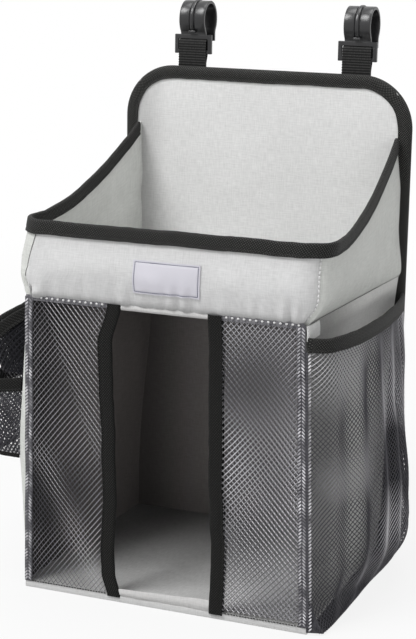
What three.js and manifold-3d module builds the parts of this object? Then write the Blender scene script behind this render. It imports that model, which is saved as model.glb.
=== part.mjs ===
// A hanging fabric organiser for a changing table: an open bin over a mesh-fronted compartment,
// a tall stiffened back panel, mesh side pockets, and two webbing straps with plastic rail hooks.
// Millimetres, +Z up. The front faces -Y and +X is to the right of someone facing it.
// The origin is on the floor under the middle of the body.

import * as THREE from 'three';
import { mergeVertices } from 'three/addons/utils/BufferGeometryUtils.js';
import Module from 'manifold-3d';

// Materials by thickness
const CLOTH = 1.6;
const NET = 1.2;
const TAPE = 1.2;
const WEBBING = 1.5;
const BOARD = 2.2;
const GAP = 0.3; // between two pieces that are sewn or laid together
const TAPE_WIDTH = 12.5; // a folded binding as it shows from one side

// Overall
const BODY_DEPTH = 240; // front net to the back of the panel
const PANEL_WIDTH = 292;
const SHELF_Z = 276; // seam between the bin and the compartment below it
const BAND_HEIGHT = 69.5; // shelf seam to the top of the rim at the front
const RIM_RISE = 63.5; // how much higher the rim is where it meets the panel
const PANEL_ABOVE_RIM = 117.5; // top of the panel above the front rim

// Back panel
const PANEL_FOOT = 2; // its lower edge above the floor
const PANEL_TOP_R = 50;
const PANEL_FOOT_R = 14;

// Body, from the panel's side edges inwards and then out again towards the front
const REAR_INSET = 15; // sides inside the panel's edge, where they are sewn beside its binding
const FOOT_FLARE = 6; // how much further out the sides stand at the front, at the floor
const RIM_FLARE = 12; // and at the rim; at the shelf they run straight
const LEFT_PINCH = 12; // how far the lower left side draws in at the panel
const RIGHT_PINCH = 3; // and the lower right side
const PINCH_POWER = 2.6; // puts the narrowest place at three quarters of the height
const LEFT_SWELL = 19; // how far the lower left side bellies out
const RIGHT_SWELL = 4; // and the lower right side
const SWELL_POWER = 0.6; // under 1 puts the fullest place nearer the front

// Bin
const RIM_LEVEL_LENGTH = 45; // how far back the side rims stay level before they climb
const RIM_RISE_POWER = 1.6;
const RIM_TAPE_SHORT = 4; // the rim's tape stops this far from the panel
const CORNER_R = 25;
const BAND_PUFF = 6; // how far the front band stands out at mid height
const BAND_SWELL_HEIGHT = 28; // height above the shelf over which the bin reaches its full width

// Label patch, left bare
const LABEL_WIDTH = 62;
const LABEL_HEIGHT = 29;
const LABEL_LIFT = 14; // its lower edge above the shelf seam
const LABEL_THICK = 1;

// Front opening between the two nets
const LEFT_EDGE = { foot: -52, head: -53, bow: -8.5 }; // centre line of the tape on the left net
const RIGHT_EDGE = { foot: 48, head: 43, bow: 0 };
const EDGE_BOW_POWER = 2.65; // puts the bow's widest point at three quarters of the height
const LIP_HEIGHT = 11.5;
const HEADER_HEIGHT = 8;
const CORNER_TAPE_WIDTH = 7.5;

// Front nets: diamond gaps, drawn at 2.5 times the real pitch
const GAP_WIDTH = 13.5;
const GAP_HEIGHT = 15;
const STRAND = 2.6;
const NET_MARGIN = 1.5;

// Base
const BASE_EDGE = 0.2; // how far the cover's edge stands above the floor cloth

// Right pocket, one tall net
const RIGHT_MOUTH_FRONT_DROP = 7.5; // its mouth below the shelf seam at the front
const RIGHT_MOUTH_REAR_DROP = 16.5; // and at the panel
const RIGHT_FOOT_Z = 3;
const RIGHT_REAR_INSET = 2; // where its rear edge is sewn, inside the panel's edge
const RIGHT_FOOT_BELLY = 8;
const RIGHT_FULL_BELLY = 36;
const RIGHT_MOUTH_BELLY = 25;
const RIGHT_FULL_Z = 55;
const RIGHT_FOOT_SKEW = 1.25; // over 1 puts the belly towards the rear, under 1 towards the front
const RIGHT_MOUTH_SKEW = 0.55;
const RIGHT_ROUNDNESS = 0.6;

// Left pockets, two gusseted nets one above the other. Foot and mouth count down from the shelf
// seam, and droop is how much lower the mouth hangs on the outer face.
const LEFT_FRONT_INSET = 10; // front gussets behind the front of the body
const LEFT_REAR_INSET = 24; // rear gussets in front of the back of the panel
const LEFT_CORNER_R = 12;
const UPPER_POCKET = { foot: 77, mouth: 10, droop: 22, footDepth: 36, mouthDepth: 52, lift: 5 };
const LOWER_POCKET = { foot: 155, mouth: 79, droop: 5, footDepth: 42, mouthDepth: 55, lift: 0 };
const HEM_HEIGHT = 4;

// Straps and hooks, one set on each side
const LEFT_STRAP_X = 79.5; // middle of the left strap, from the middle of the panel
const RIGHT_STRAP_X = 87.5; // and of the right one
const STRAP_WIDTH = 28.5;
const TAIL_LENGTH = 62; // sewn length behind the panel
const STRAP_RISE = 11.5; // bar above the fold at the panel's top edge
const LOOP_CLEARANCE = 0.5; // between the webbing and the bar it goes round
const BAR_R = 1.9;
const FRAME_LEG = 3.75; // width of the slot frame on each side of the webbing
const FRAME_HEIGHT = 18.5;
const FRAME_THICK = 4;
const FRAME_TOP_BAR = 3.7;
const FRAME_SIDE_CLEARANCE = 1;
const FRAME_HEAD_CLEARANCE = 2.3; // between the webbing's turn and the slot's upper edge
const HOOK_WIDTH = 26;
const HOOK_WALL = 3;
const HOOK_BORE_R = 15;
const HOOK_RISE = 31; // ring centre above the bar
const NECK_TUCK = 6.5; // neck inside the ring's outer radius
const HOOK_TAIL_TUCK = 6; // tail inside it
const HOOK_TAIL_DROP = 21.5; // foot of the tail below the ring centre
const RIB_WIDTH = 6.5;
const RIB_HEIGHT = 1;
const RIB_STOP = 36; // degrees below the level of the ring centre where the rib stops

// How finely the curved pieces are faceted
const PANEL_CORNER_STEPS = 6;
const BIN_LEVELS = 6;
const LEFT_SIDE_LEVELS = 18;
const RIGHT_SIDE_LEVELS = 8;
const RIGHT_POCKET_LEVELS = 9;
const LEFT_POCKET_LEVELS = 5;
const EDGE_STEPS = 10;
const RING_STEPS = 28;
const BAR_STEPS = 12;
const STRAP_STEPS = 10;

// Worked out from the sizes above
const PANEL_HALF = PANEL_WIDTH / 2;
const PANEL_REAR_Y = BODY_DEPTH / 2;
const PANEL_THICK = 2 * CLOTH + BOARD + 2 * GAP;
const PANEL_FRONT_Y = PANEL_REAR_Y - PANEL_THICK;
const PANEL_EDGE = TAPE + GAP; // the cloth stops this far inside the binding's outer edge
const BINDING_FRONT_Y = PANEL_FRONT_Y - PANEL_EDGE;
const BODY_FRONT_Y = -BODY_DEPTH / 2;
const BODY_REAR_Y = PANEL_FRONT_Y - GAP;
const NET_REAR_Y = BODY_FRONT_Y + NET;
const SIDE_FRONT_Y = NET_REAR_Y + GAP;
const RIM_FRONT_Z = SHELF_Z + BAND_HEIGHT;
const RIM_RISE_FROM_Y = BODY_FRONT_Y + RIM_LEVEL_LENGTH;
const PANEL_TOP = RIM_FRONT_Z + PANEL_ABOVE_RIM;
const REAR_HALF = PANEL_HALF - REAR_INSET;
const FOOT_HALF = REAR_HALF + FOOT_FLARE;
const WAIST_HALF = REAR_HALF;
const RIM_HALF = REAR_HALF + RIM_FLARE;
const BASE_HEIGHT = 2 * CLOTH + BOARD + 2 * GAP + BASE_EDGE;
const WALL_FOOT_Z = BASE_HEIGHT + GAP;
const WALL_HEAD_Z = SHELF_Z - GAP;
const RIGHT_REAR_X = PANEL_HALF - RIGHT_REAR_INSET;
const LEFT_FRONT_Y = BODY_FRONT_Y + LEFT_FRONT_INSET;
const LEFT_REAR_Y = PANEL_REAR_Y - LEFT_REAR_INSET;
const TAIL_FRONT_Y = PANEL_REAR_Y + PANEL_EDGE + GAP;
const STRAP_THICK = 2 * WEBBING + LOOP_CLEARANCE / 2;
const FOLD_R = STRAP_THICK / 2;
const FOLD_Y = TAIL_FRONT_Y + FOLD_R;
const FOLD_Z = PANEL_TOP + GAP + FOLD_R;
const LOOP_INNER_R = BAR_R + LOOP_CLEARANCE;
const LOOP_OUTER_R = LOOP_INNER_R + WEBBING;
const BAR_Y = FOLD_Y - FOLD_R + LOOP_OUTER_R;
const BAR_Z = FOLD_Z + STRAP_RISE;
const FRAME_FOOT_Z = BAR_Z - BAR_R;
const FRAME_HEAD_Z = FRAME_FOOT_Z + FRAME_HEIGHT;
const SLOT_HEAD_Z = FRAME_HEAD_Z - FRAME_TOP_BAR;
const LOOP_TOP_Z = SLOT_HEAD_Z - FRAME_HEAD_CLEARANCE;
const SLOT_HALF = STRAP_WIDTH / 2 + FRAME_SIDE_CLEARANCE;
const FRAME_HALF = SLOT_HALF + FRAME_LEG;
const RING_R = HOOK_BORE_R + HOOK_WALL;
const NECK_IN = RING_R - NECK_TUCK;
const HOOK_TAIL_OUT = RING_R - HOOK_TAIL_TUCK;
const RING_Y = BAR_Y + NECK_IN;
const RING_Z = BAR_Z + HOOK_RISE;

const { lerp, clamp } = THREE.MathUtils;
const FULL_TURN = 2 * Math.PI;

const COLOURS = {
  cloth: { color: 0xcfcfcd, roughness: 0.92, metalness: 0 },
  sideCloth: { color: 0xa6a9a1, roughness: 0.92, metalness: 0 },
  lining: { color: 0xb4b4b2, roughness: 0.94, metalness: 0 },
  binding: { color: 0x222222, roughness: 0.8, metalness: 0 },
  webbing: { color: 0x1c1c1c, roughness: 0.85, metalness: 0 },
  net: { color: 0x77777b, roughness: 0.55, metalness: 0 },
  board: { color: 0xb9a88a, roughness: 0.9, metalness: 0 },
  label: { color: 0xe9e8ee, roughness: 0.75, metalness: 0 },
  plastic: { color: 0x151515, roughness: 0.3, metalness: 0 },
};

const wasm = await Module();
wasm.setup();

const organiser = new THREE.Group();

function add(name, geometry, look) {
  const mesh = new THREE.Mesh(geometry, new THREE.MeshStandardMaterial(COLOURS[look]));
  mesh.name = name;
  organiser.add(mesh);
}

function toSolid(geometry) {
  const bare = geometry.clone();
  bare.deleteAttribute('normal');
  bare.deleteAttribute('uv');
  const merged = mergeVertices(bare, 1e-4);
  return new wasm.Manifold(new wasm.Mesh({
    numProp: 3,
    vertProperties: new Float32Array(merged.attributes.position.array),
    triVerts: new Uint32Array(merged.index.array),
  }));
}

function toGeometry(solid) {
  const mesh = solid.getMesh();
  const geometry = new THREE.BufferGeometry();
  geometry.setAttribute('position', new THREE.BufferAttribute(mesh.vertProperties, 3));
  geometry.setIndex(new THREE.BufferAttribute(mesh.triVerts, 1));
  return geometry;
}

// Even values from first to last, both included.
function steps(first, last, count) {
  return Array.from({ length: count + 1 }, (_, i) => lerp(first, last, i / count));
}

function signedVolume(points, triangles) {
  let six = 0;
  for (let i = 0; i < triangles.length; i += 3) {
    const [a, b, c] = [points[triangles[i]], points[triangles[i + 1]], points[triangles[i + 2]]];
    six += a.dot(b.clone().cross(c));
  }
  return six / 6;
}

// A closed body between two skins. Each skin is a list of rows along the piece, and each row a
// list of points across it, as many in one skin as in the other.
function sheet(outer, inner) {
  const rows = outer.length;
  const across = outer[0].length;
  const points = [...outer.flat(), ...inner.flat()];
  const out = (i, j) => i * across + j;
  const inn = (i, j) => (rows + i) * across + j;
  const triangles = [];
  const quad = (a, b, c, d) => triangles.push(a, b, c, a, c, d);
  for (let i = 0; i + 1 < rows; i += 1) {
    for (let j = 0; j + 1 < across; j += 1) {
      quad(out(i, j), out(i + 1, j), out(i + 1, j + 1), out(i, j + 1));
      quad(inn(i, j), inn(i, j + 1), inn(i + 1, j + 1), inn(i + 1, j));
    }
    const last = across - 1;
    quad(out(i, 0), inn(i, 0), inn(i + 1, 0), out(i + 1, 0));
    quad(out(i, last), out(i + 1, last), inn(i + 1, last), inn(i, last));
  }
  const end = rows - 1;
  for (let j = 0; j + 1 < across; j += 1) {
    quad(out(0, j), out(0, j + 1), inn(0, j + 1), inn(0, j));
    quad(out(end, j), inn(end, j), inn(end, j + 1), out(end, j + 1));
  }
  if (signedVolume(points, triangles) < 0) triangles.reverse();
  const geometry = new THREE.BufferGeometry().setFromPoints(points);
  geometry.setIndex(triangles);
  return geometry;
}

// A plan is a function (s, z) that gives the wall's outer face as [x, y]. This places a point
// the given distance outside that face, square to it. Walls run with their outside on the right.
function onWall(plan, s, z, out) {
  const step = 1e-3;
  const [x, y] = plan(s, z);
  const [xa, ya] = plan(s - step, z);
  const [xb, yb] = plan(s + step, z);
  const length = Math.hypot(xb - xa, yb - ya);
  return new THREE.Vector3(x + (out * (yb - ya)) / length, y - (out * (xb - xa)) / length, z);
}

// A wall of the given thickness between two heights, which may change along it.
function wall(plan, stations, foot, head, thickness, levels, outside = 0) {
  const skin = (out) => stations.map((s) => steps(foot(s), head(s), levels)
    .map((z) => onWall(plan, s, z, out)));
  return sheet(skin(outside), skin(outside - thickness));
}

// Binding tape folded over the upper edge of a wall.
function topTape(plan, stations, head, thickness) {
  const reach = GAP + TAPE;
  const row = (s, leg, top) => [
    onWall(plan, s, head(s) - TAPE_WIDTH, leg),
    onWall(plan, s, top(s), leg),
    onWall(plan, s, top(s), -thickness - leg),
    onWall(plan, s, head(s) - TAPE_WIDTH, -thickness - leg),
  ];
  const outer = stations.map((s) => row(s, reach, head));
  const inner = stations.map((s) => row(s, GAP, (at) => head(at) - TAPE));
  return sheet(outer, inner);
}

// A flat piece lying level, from a plan outline.
function levelPlate(outline, foot, thickness) {
  const geometry = new THREE.ExtrudeGeometry(new THREE.Shape(outline), {
    depth: thickness, bevelEnabled: false,
  });
  return geometry.translate(0, 0, foot);
}

// A flat piece standing up and facing the front, from a shape in X and Z.
function standingPlate(shape, frontY, thickness, segments = 12) {
  const geometry = new THREE.ExtrudeGeometry(shape, {
    depth: thickness, bevelEnabled: false, curveSegments: segments,
  });
  const basis = new THREE.Matrix4().makeBasis(
    new THREE.Vector3(1, 0, 0), new THREE.Vector3(0, 0, 1), new THREE.Vector3(0, -1, 0),
  );
  return geometry.applyMatrix4(basis).translate(0, frontY + thickness, 0);
}

// A profile in Y and Z, carried along X over the given width about the given middle.
function acrossPlate(shape, middleX, width, segments) {
  const geometry = new THREE.ExtrudeGeometry(shape, {
    depth: width, bevelEnabled: false, curveSegments: segments,
  });
  const basis = new THREE.Matrix4().makeBasis(
    new THREE.Vector3(0, 1, 0), new THREE.Vector3(0, 0, 1), new THREE.Vector3(1, 0, 0),
  );
  return geometry.applyMatrix4(basis).translate(middleX - width / 2, 0, 0);
}

// Back panel

// Points of the panel's outline, the given distance inside its outer edge, from the foot of the
// left side over the top to the foot of the right side.
function panelOutline(inset) {
  const places = [];
  const corner = (centreX, centreZ, radius, from, to) => {
    for (const angle of steps(from, to, PANEL_CORNER_STEPS)) {
      const [dx, dz] = [Math.cos(angle), Math.sin(angle)];
      places.push([centreX + (radius - inset) * dx, centreZ + (radius - inset) * dz]);
    }
  };
  const half = Math.PI / 2;
  const footZ = PANEL_FOOT + PANEL_FOOT_R;
  const topZ = PANEL_TOP - PANEL_TOP_R;
  corner(-PANEL_HALF + PANEL_FOOT_R, footZ, PANEL_FOOT_R, 3 * half, 2 * half);
  corner(-PANEL_HALF + PANEL_TOP_R, topZ, PANEL_TOP_R, 2 * half, half);
  corner(PANEL_HALF - PANEL_TOP_R, topZ, PANEL_TOP_R, half, 0);
  corner(PANEL_HALF - PANEL_FOOT_R, footZ, PANEL_FOOT_R, 0, -half);
  return places;
}

function buildBackPanel() {
  const shape = (inset) => new THREE.Shape(
    panelOutline(inset).map(([x, z]) => new THREE.Vector2(x, z)),
  );
  const faceY = PANEL_FRONT_Y;
  const boardY = faceY + CLOTH + GAP;
  const rearY = boardY + BOARD + GAP;
  add('back_panel_face', standingPlate(shape(PANEL_EDGE), faceY, CLOTH), 'cloth');
  add('back_panel_board', standingPlate(shape(PANEL_EDGE + CLOTH), boardY, BOARD), 'board');
  add('back_panel_rear', standingPlate(shape(PANEL_EDGE), rearY, CLOTH), 'sideCloth');

  // The binding is a channel round the sides and the top, and leaves the foot bare.
  const hem = panelOutline(TAPE_WIDTH);
  const rearFace = PANEL_REAR_Y + PANEL_EDGE;
  const channel = (turn, front, rear) => turn.map(([turnX, turnZ], i) => {
    const [hemX, hemZ] = hem[i];
    return [
      new THREE.Vector3(hemX, front, hemZ), new THREE.Vector3(turnX, front, turnZ),
      new THREE.Vector3(turnX, rear, turnZ), new THREE.Vector3(hemX, rear, hemZ),
    ];
  });
  const outer = channel(panelOutline(0), BINDING_FRONT_Y, rearFace);
  const inner = channel(panelOutline(TAPE), BINDING_FRONT_Y + TAPE, rearFace - TAPE);
  add('back_panel_binding', sheet(outer, inner), 'binding');
}

// Bin and compartment walls in plan. The distance s counts from 0 in the middle of the front:
// the corner runs from 1 to 2 and the side from 2 to 3, with a minus sign on the left.

function bodyPlan(halfAt, frontAt) {
  return (s, z) => {
    const side = Math.sign(s);
    const along = Math.abs(s);
    const half = halfAt(z);
    const front = frontAt(z);
    if (along <= 1) return [s * (half - CORNER_R), front];
    if (along <= 2) {
      const angle = ((along - 1) * Math.PI) / 2;
      const x = half - CORNER_R + CORNER_R * Math.sin(angle);
      return [side * x, front + CORNER_R - CORNER_R * Math.cos(angle)];
    }
    const t = along - 2;
    return [side * lerp(half, REAR_HALF, t), lerp(front + CORNER_R, BODY_REAR_Y, t)];
  };
}

const binSwell = (z) => Math.sin((Math.PI / 2) * clamp((z - SHELF_Z) / BAND_SWELL_HEIGHT, 0, 1));

const binPlan = bodyPlan(
  (z) => lerp(WAIST_HALF, RIM_HALF, binSwell(z)),
  (z) => {
    const up = clamp((z - SHELF_Z) / (RIM_FRONT_Z - SHELF_Z), 0, 1);
    return BODY_FRONT_Y - BAND_PUFF * Math.sin(Math.PI * up) + NET * (1 - binSwell(z));
  },
);

// Height of the rim over a place on the bin wall.
function rimTop(s) {
  const [, y] = binPlan(s, RIM_FRONT_Z);
  const t = clamp((y - RIM_RISE_FROM_Y) / (BODY_REAR_Y - RIM_RISE_FROM_Y), 0, 1);
  return RIM_FRONT_Z + RIM_RISE * t ** RIM_RISE_POWER;
}

const CORNER_SEAM = 1.5;
const HALF_SEAM = GAP / (CORNER_R * Math.PI); // half a seam's gap, counted as s counts a corner
const WALL_END = 3;
const RIM_TAPE_END = WALL_END - RIM_TAPE_SHORT / (BODY_REAR_Y - BODY_FRONT_Y - CORNER_R);

function sideStations(side, first, last) {
  const corner = steps(first, 2, 2);
  const flank = steps(2, last, 7).slice(1);
  const list = [...corner, ...flank].map((s) => side * s);
  return side < 0 ? list.reverse() : list;
}

function frontStations(last) {
  return [...steps(-last, -1, 2), ...steps(-1, 1, 6).slice(1, -1), ...steps(1, last, 2)];
}

function roundStations(last) {
  return [
    ...sideStations(-1, CORNER_SEAM, last).slice(0, -1), ...frontStations(CORNER_SEAM),
    ...sideStations(1, CORNER_SEAM, last).slice(1),
  ];
}

function buildBin() {
  const clothTop = (s) => rimTop(s) - TAPE - GAP;
  const footAt = () => SHELF_Z + GAP / 2;
  const front = frontStations(CORNER_SEAM - HALF_SEAM);
  add('bin_front_band', wall(binPlan, front, footAt, clothTop, CLOTH, BIN_LEVELS), 'cloth');
  for (const [name, side] of [['left', -1], ['right', 1]]) {
    const stations = sideStations(side, CORNER_SEAM + HALF_SEAM, WALL_END);
    const flank = wall(binPlan, stations, footAt, clothTop, CLOTH, BIN_LEVELS);
    add(`bin_${name}_side`, flank, 'sideCloth');
  }
  add('rim_binding', topTape(binPlan, roundStations(RIM_TAPE_END), rimTop, CLOTH), 'binding');

  const labelEnd = LABEL_WIDTH / 2 / (RIM_HALF - CORNER_R);
  const labelFoot = SHELF_Z + LABEL_LIFT;
  const label = wall(
    binPlan, steps(-labelEnd, labelEnd, 2), () => labelFoot, () => labelFoot + LABEL_HEIGHT,
    LABEL_THICK, 4, GAP + LABEL_THICK,
  );
  add('label_patch', label, 'label');
}

// Shelf between the bin and the compartment

function buildShelf() {
  const floorZ = SHELF_Z + GAP / 2;
  const outline = roundStations(WALL_END).map((s) => {
    const { x, y } = onWall(binPlan, s, floorZ, -CLOTH - GAP);
    return new THREE.Vector2(x, y);
  });
  add('bin_floor', levelPlate(outline, floorZ, CLOTH), 'lining');

  const boardTop = SHELF_Z - GAP;
  const undersideFoot = boardTop - BOARD - GAP - CLOTH;
  const frontHalf = frontHalfAt(boardTop) - CLOTH - GAP;
  const rearHalf = (side) => rearHalfAt(side, undersideFoot) - CLOTH - 2 * GAP;
  const frontY = SIDE_FRONT_Y + CLOTH;
  const plate = [
    new THREE.Vector2(-frontHalf, frontY), new THREE.Vector2(frontHalf, frontY),
    new THREE.Vector2(rearHalf(1), BODY_REAR_Y), new THREE.Vector2(-rearHalf(-1), BODY_REAR_Y),
  ];
  add('shelf_board', levelPlate(plate, boardTop - BOARD, BOARD), 'board');
  add('shelf_underside', levelPlate(plate, undersideFoot, CLOTH), 'lining');
}

// Compartment under the shelf

const frontHalfAt = (z) => lerp(FOOT_HALF, WAIST_HALF, z / SHELF_Z);

function rearHalfAt(side, z) {
  const pinch = side < 0 ? LEFT_PINCH : RIGHT_PINCH;
  return REAR_HALF - pinch * Math.sin(Math.PI * clamp(z / SHELF_Z, 0, 1) ** PINCH_POWER);
}

// Outer face of a lower side wall, t from 0 at the front to 1 at the back panel.
function flankPlan(side) {
  const swell = side < 0 ? LEFT_SWELL : RIGHT_SWELL;
  return (s, z) => {
    const t = clamp(side < 0 ? 1 - s : s, 0, 1);
    const along = Math.sin(Math.PI * t ** SWELL_POWER);
    const upwards = Math.sin((Math.PI * clamp(z, 0, SHELF_Z)) / SHELF_Z);
    const x = lerp(frontHalfAt(z), rearHalfAt(side, z), t) + swell * along * upwards;
    return [side * x, lerp(SIDE_FRONT_Y, BODY_REAR_Y, side < 0 ? 1 - s : s)];
  };
}

// Places along a lower side wall where its facets meet, as t. They lie closer where it bellies out.
const FLANK_STATIONS = [0, 0.035, 0.07, 0.12, ...steps(0.2, 0.9, 7), 0.96, 1];

// Their places in Y between two limits, which are included.
function flankYs(first, last) {
  const seams = FLANK_STATIONS.map((t) => lerp(SIDE_FRONT_Y, BODY_REAR_Y, t));
  return [first, ...seams.filter((y) => y > first && y < last), last];
}

function flankX(side, y, z) {
  const t = (y - SIDE_FRONT_Y) / (BODY_REAR_Y - SIDE_FRONT_Y);
  return Math.abs(flankPlan(side)(side < 0 ? 1 - t : t, z)[0]);
}

function edgeCentre(edge, z) {
  const t = clamp((z - WALL_FOOT_Z) / (WALL_HEAD_Z - WALL_FOOT_Z), 0, 1);
  return lerp(edge.foot, edge.head, t) + edge.bow * Math.sin(Math.PI * t ** EDGE_BOW_POWER);
}

// Diamond gaps inside a region whose left and right limits depend on height.
function diamondGaps(leftAt, rightAt, footZ, headZ) {
  const halfWidth = GAP_WIDTH / 2;
  const halfHeight = GAP_HEIGHT / 2;
  const centreToSide = (halfWidth * halfHeight) / Math.hypot(halfWidth, halfHeight);
  const shrink = 1 - STRAND / 2 / centreToSide;
  const gapHalfWidth = halfWidth * shrink;
  const gapHalfHeight = halfHeight * shrink;
  const gaps = [];
  const rows = Math.floor((headZ - footZ) / halfHeight);
  const span = Math.ceil(FOOT_HALF / GAP_WIDTH) * GAP_WIDTH; // whole pitches from the middle
  for (let row = 0; row <= rows; row += 1) {
    const z = footZ + row * halfHeight;
    const shift = row % 2 ? halfWidth : 0;
    for (let x = -span + shift; x < span; x += GAP_WIDTH) {
      const clearLeft = x - gapHalfWidth > leftAt(z) + NET_MARGIN;
      const clearRight = x + gapHalfWidth < rightAt(z) - NET_MARGIN;
      const clearFoot = z - gapHalfHeight > footZ + NET_MARGIN;
      const clearHead = z + gapHalfHeight < headZ - NET_MARGIN;
      if (clearLeft && clearRight && clearFoot && clearHead) {
        gaps.push(new THREE.Shape([
          new THREE.Vector2(x, z - gapHalfHeight), new THREE.Vector2(x + gapHalfWidth, z),
          new THREE.Vector2(x, z + gapHalfHeight), new THREE.Vector2(x - gapHalfWidth, z),
        ]));
      }
    }
  }
  return gaps;
}

function buildFront() {
  const sides = [['left', -1, LEFT_EDGE], ['right', 1, RIGHT_EDGE]];
  for (const [name, side, edge] of sides) {
    const heights = steps(WALL_FOOT_Z, WALL_HEAD_Z, edge.bow === 0 ? 1 : EDGE_STEPS);
    const freeEdge = (z) => edgeCentre(edge, z) - side * (TAPE_WIDTH / 2 - TAPE - GAP);
    const sewnEdge = (z) => side * (frontHalfAt(z) - GAP);
    const outline = [
      new THREE.Vector2(sewnEdge(WALL_FOOT_Z), WALL_FOOT_Z),
      ...heights.map((z) => new THREE.Vector2(freeEdge(z), z)),
      new THREE.Vector2(sewnEdge(WALL_HEAD_Z), WALL_HEAD_Z),
    ];
    const plate = toSolid(standingPlate(new THREE.Shape(outline), BODY_FRONT_Y, NET));
    const tapeEdge = (z) => edgeCentre(edge, z) + (side * TAPE_WIDTH) / 2;
    const seamEdge = (z) => side * (frontHalfAt(z) - CORNER_TAPE_WIDTH);
    const [leftAt, rightAt] = side < 0 ? [seamEdge, tapeEdge] : [tapeEdge, seamEdge];
    const gaps = diamondGaps(leftAt, rightAt, WALL_FOOT_Z, WALL_HEAD_Z);
    console.log(`front ${name} net: ${gaps.length} gaps`);
    let net = plate;
    for (const gap of gaps) {
      net = net.subtract(toSolid(standingPlate(gap, BODY_FRONT_Y - NET, 3 * NET)));
    }
    add(`front_${name}_mesh`, toGeometry(net), 'net');

    const frontFace = BODY_FRONT_Y - PANEL_EDGE;
    const rearFace = NET_REAR_Y + PANEL_EDGE;
    const row = (z, fold, front, rear) => {
      const centre = edgeCentre(edge, z);
      const hem = centre + (side * TAPE_WIDTH) / 2;
      const turn = centre - side * (TAPE_WIDTH / 2 - fold);
      return [
        new THREE.Vector3(hem, front, z), new THREE.Vector3(turn, front, z),
        new THREE.Vector3(turn, rear, z), new THREE.Vector3(hem, rear, z),
      ];
    };
    const outer = heights.map((z) => row(z, 0, frontFace, rearFace));
    const inner = heights.map((z) => row(z, TAPE, frontFace + TAPE, rearFace - TAPE));
    add(`opening_binding_${name}`, sheet(outer, inner), 'binding');

    const tapeFace = BODY_FRONT_Y - GAP;
    const tapeRow = (z, y) => [
      new THREE.Vector3(side * (frontHalfAt(z) - CORNER_TAPE_WIDTH), y, z),
      new THREE.Vector3(side * frontHalfAt(z), y, z),
    ];
    const ends = [WALL_FOOT_Z, WALL_HEAD_Z];
    const outerTape = ends.map((z) => tapeRow(z, tapeFace - NET));
    const innerTape = ends.map((z) => tapeRow(z, tapeFace));
    add(`front_${name}_corner_fold`, sheet(outerTape, innerTape), 'net');
  }

  const between = (z) => {
    const inside = TAPE_WIDTH / 2 + GAP;
    return [edgeCentre(LEFT_EDGE, z) + inside, edgeCentre(RIGHT_EDGE, z) - inside];
  };
  const strip = (foot, head) => {
    const [footLeft, footRight] = between(foot);
    const [headLeft, headRight] = between(head);
    return new THREE.Shape([
      new THREE.Vector2(footLeft, foot), new THREE.Vector2(footRight, foot),
      new THREE.Vector2(headRight, head), new THREE.Vector2(headLeft, head),
    ]);
  };
  const header = strip(WALL_HEAD_Z - HEADER_HEIGHT, WALL_HEAD_Z);
  add('front_header', standingPlate(header, BODY_FRONT_Y, CLOTH), 'cloth');
  const lip = strip(WALL_FOOT_Z, WALL_FOOT_Z + LIP_HEIGHT);
  add('front_lip', standingPlate(lip, BODY_FRONT_Y, CLOTH), 'cloth');
}

function buildFlanks() {
  const rearFirst = FLANK_STATIONS.map((t) => 1 - t).reverse();
  const sides = [
    ['left', -1, rearFirst, LEFT_SIDE_LEVELS], ['right', 1, FLANK_STATIONS, RIGHT_SIDE_LEVELS],
  ];
  for (const [name, side, stations, levels] of sides) {
    const panel = wall(
      flankPlan(side), stations, () => WALL_FOOT_Z, () => WALL_HEAD_Z, CLOTH, levels,
    );
    add(`${name}_side_panel`, panel, 'sideCloth');
  }
}

// Base

function baseOutline(inset) {
  const front = FOOT_HALF - inset;
  const rear = REAR_HALF - inset;
  const [near, far] = [BODY_FRONT_Y + inset, BODY_REAR_Y - inset];
  const corners = [[-front, near], [front, near], [rear, far], [-rear, far]];
  return corners.map(([x, y]) => new THREE.Vector2(x, y));
}

function buildBase() {
  const block = toSolid(levelPlate(baseOutline(0), 0, BASE_HEIGHT));
  const hollow = toSolid(levelPlate(baseOutline(CLOTH), CLOTH, BASE_HEIGHT));
  add('base_cover', toGeometry(block.subtract(hollow)), 'cloth');
  const inside = baseOutline(CLOTH + GAP);
  const boardFoot = CLOTH + GAP;
  add('base_board', levelPlate(inside, boardFoot, BOARD), 'board');
  add('floor_cloth', levelPlate(inside, boardFoot + BOARD + GAP, CLOTH), 'lining');
}

// Right pocket

// Height of the mouth, t from 0 at the front to 1 at the back panel.
const rightMouth = (t) => SHELF_Z - lerp(RIGHT_MOUTH_FRONT_DROP, RIGHT_MOUTH_REAR_DROP, t);

function rightPocketPlan(t, z) {
  const mouthZ = rightMouth(clamp(t, 0, 1));
  const up = clamp((z - RIGHT_FOOT_Z) / (mouthZ - RIGHT_FOOT_Z), 0, 1);
  const swelling = clamp((z - RIGHT_FOOT_Z) / (RIGHT_FULL_Z - RIGHT_FOOT_Z), 0, 1);
  const rise = Math.sin((Math.PI / 2) * swelling);
  const fall = clamp((z - RIGHT_FULL_Z) / (mouthZ - RIGHT_FULL_Z), 0, 1);
  const full = lerp(RIGHT_FOOT_BELLY, RIGHT_FULL_BELLY, rise);
  const belly = full - (RIGHT_FULL_BELLY - RIGHT_MOUTH_BELLY) * fall;
  const skew = lerp(RIGHT_FOOT_SKEW, RIGHT_MOUTH_SKEW, up);
  const bump = Math.sin(Math.PI * clamp(t, 1e-4, 1 - 1e-4) ** skew) ** RIGHT_ROUNDNESS;
  const x = lerp(frontHalfAt(z) + NET + GAP, RIGHT_REAR_X, t) + belly * bump;
  return [x, lerp(BODY_FRONT_Y + NET, BINDING_FRONT_Y - GAP - NET, t)];
}

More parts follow.
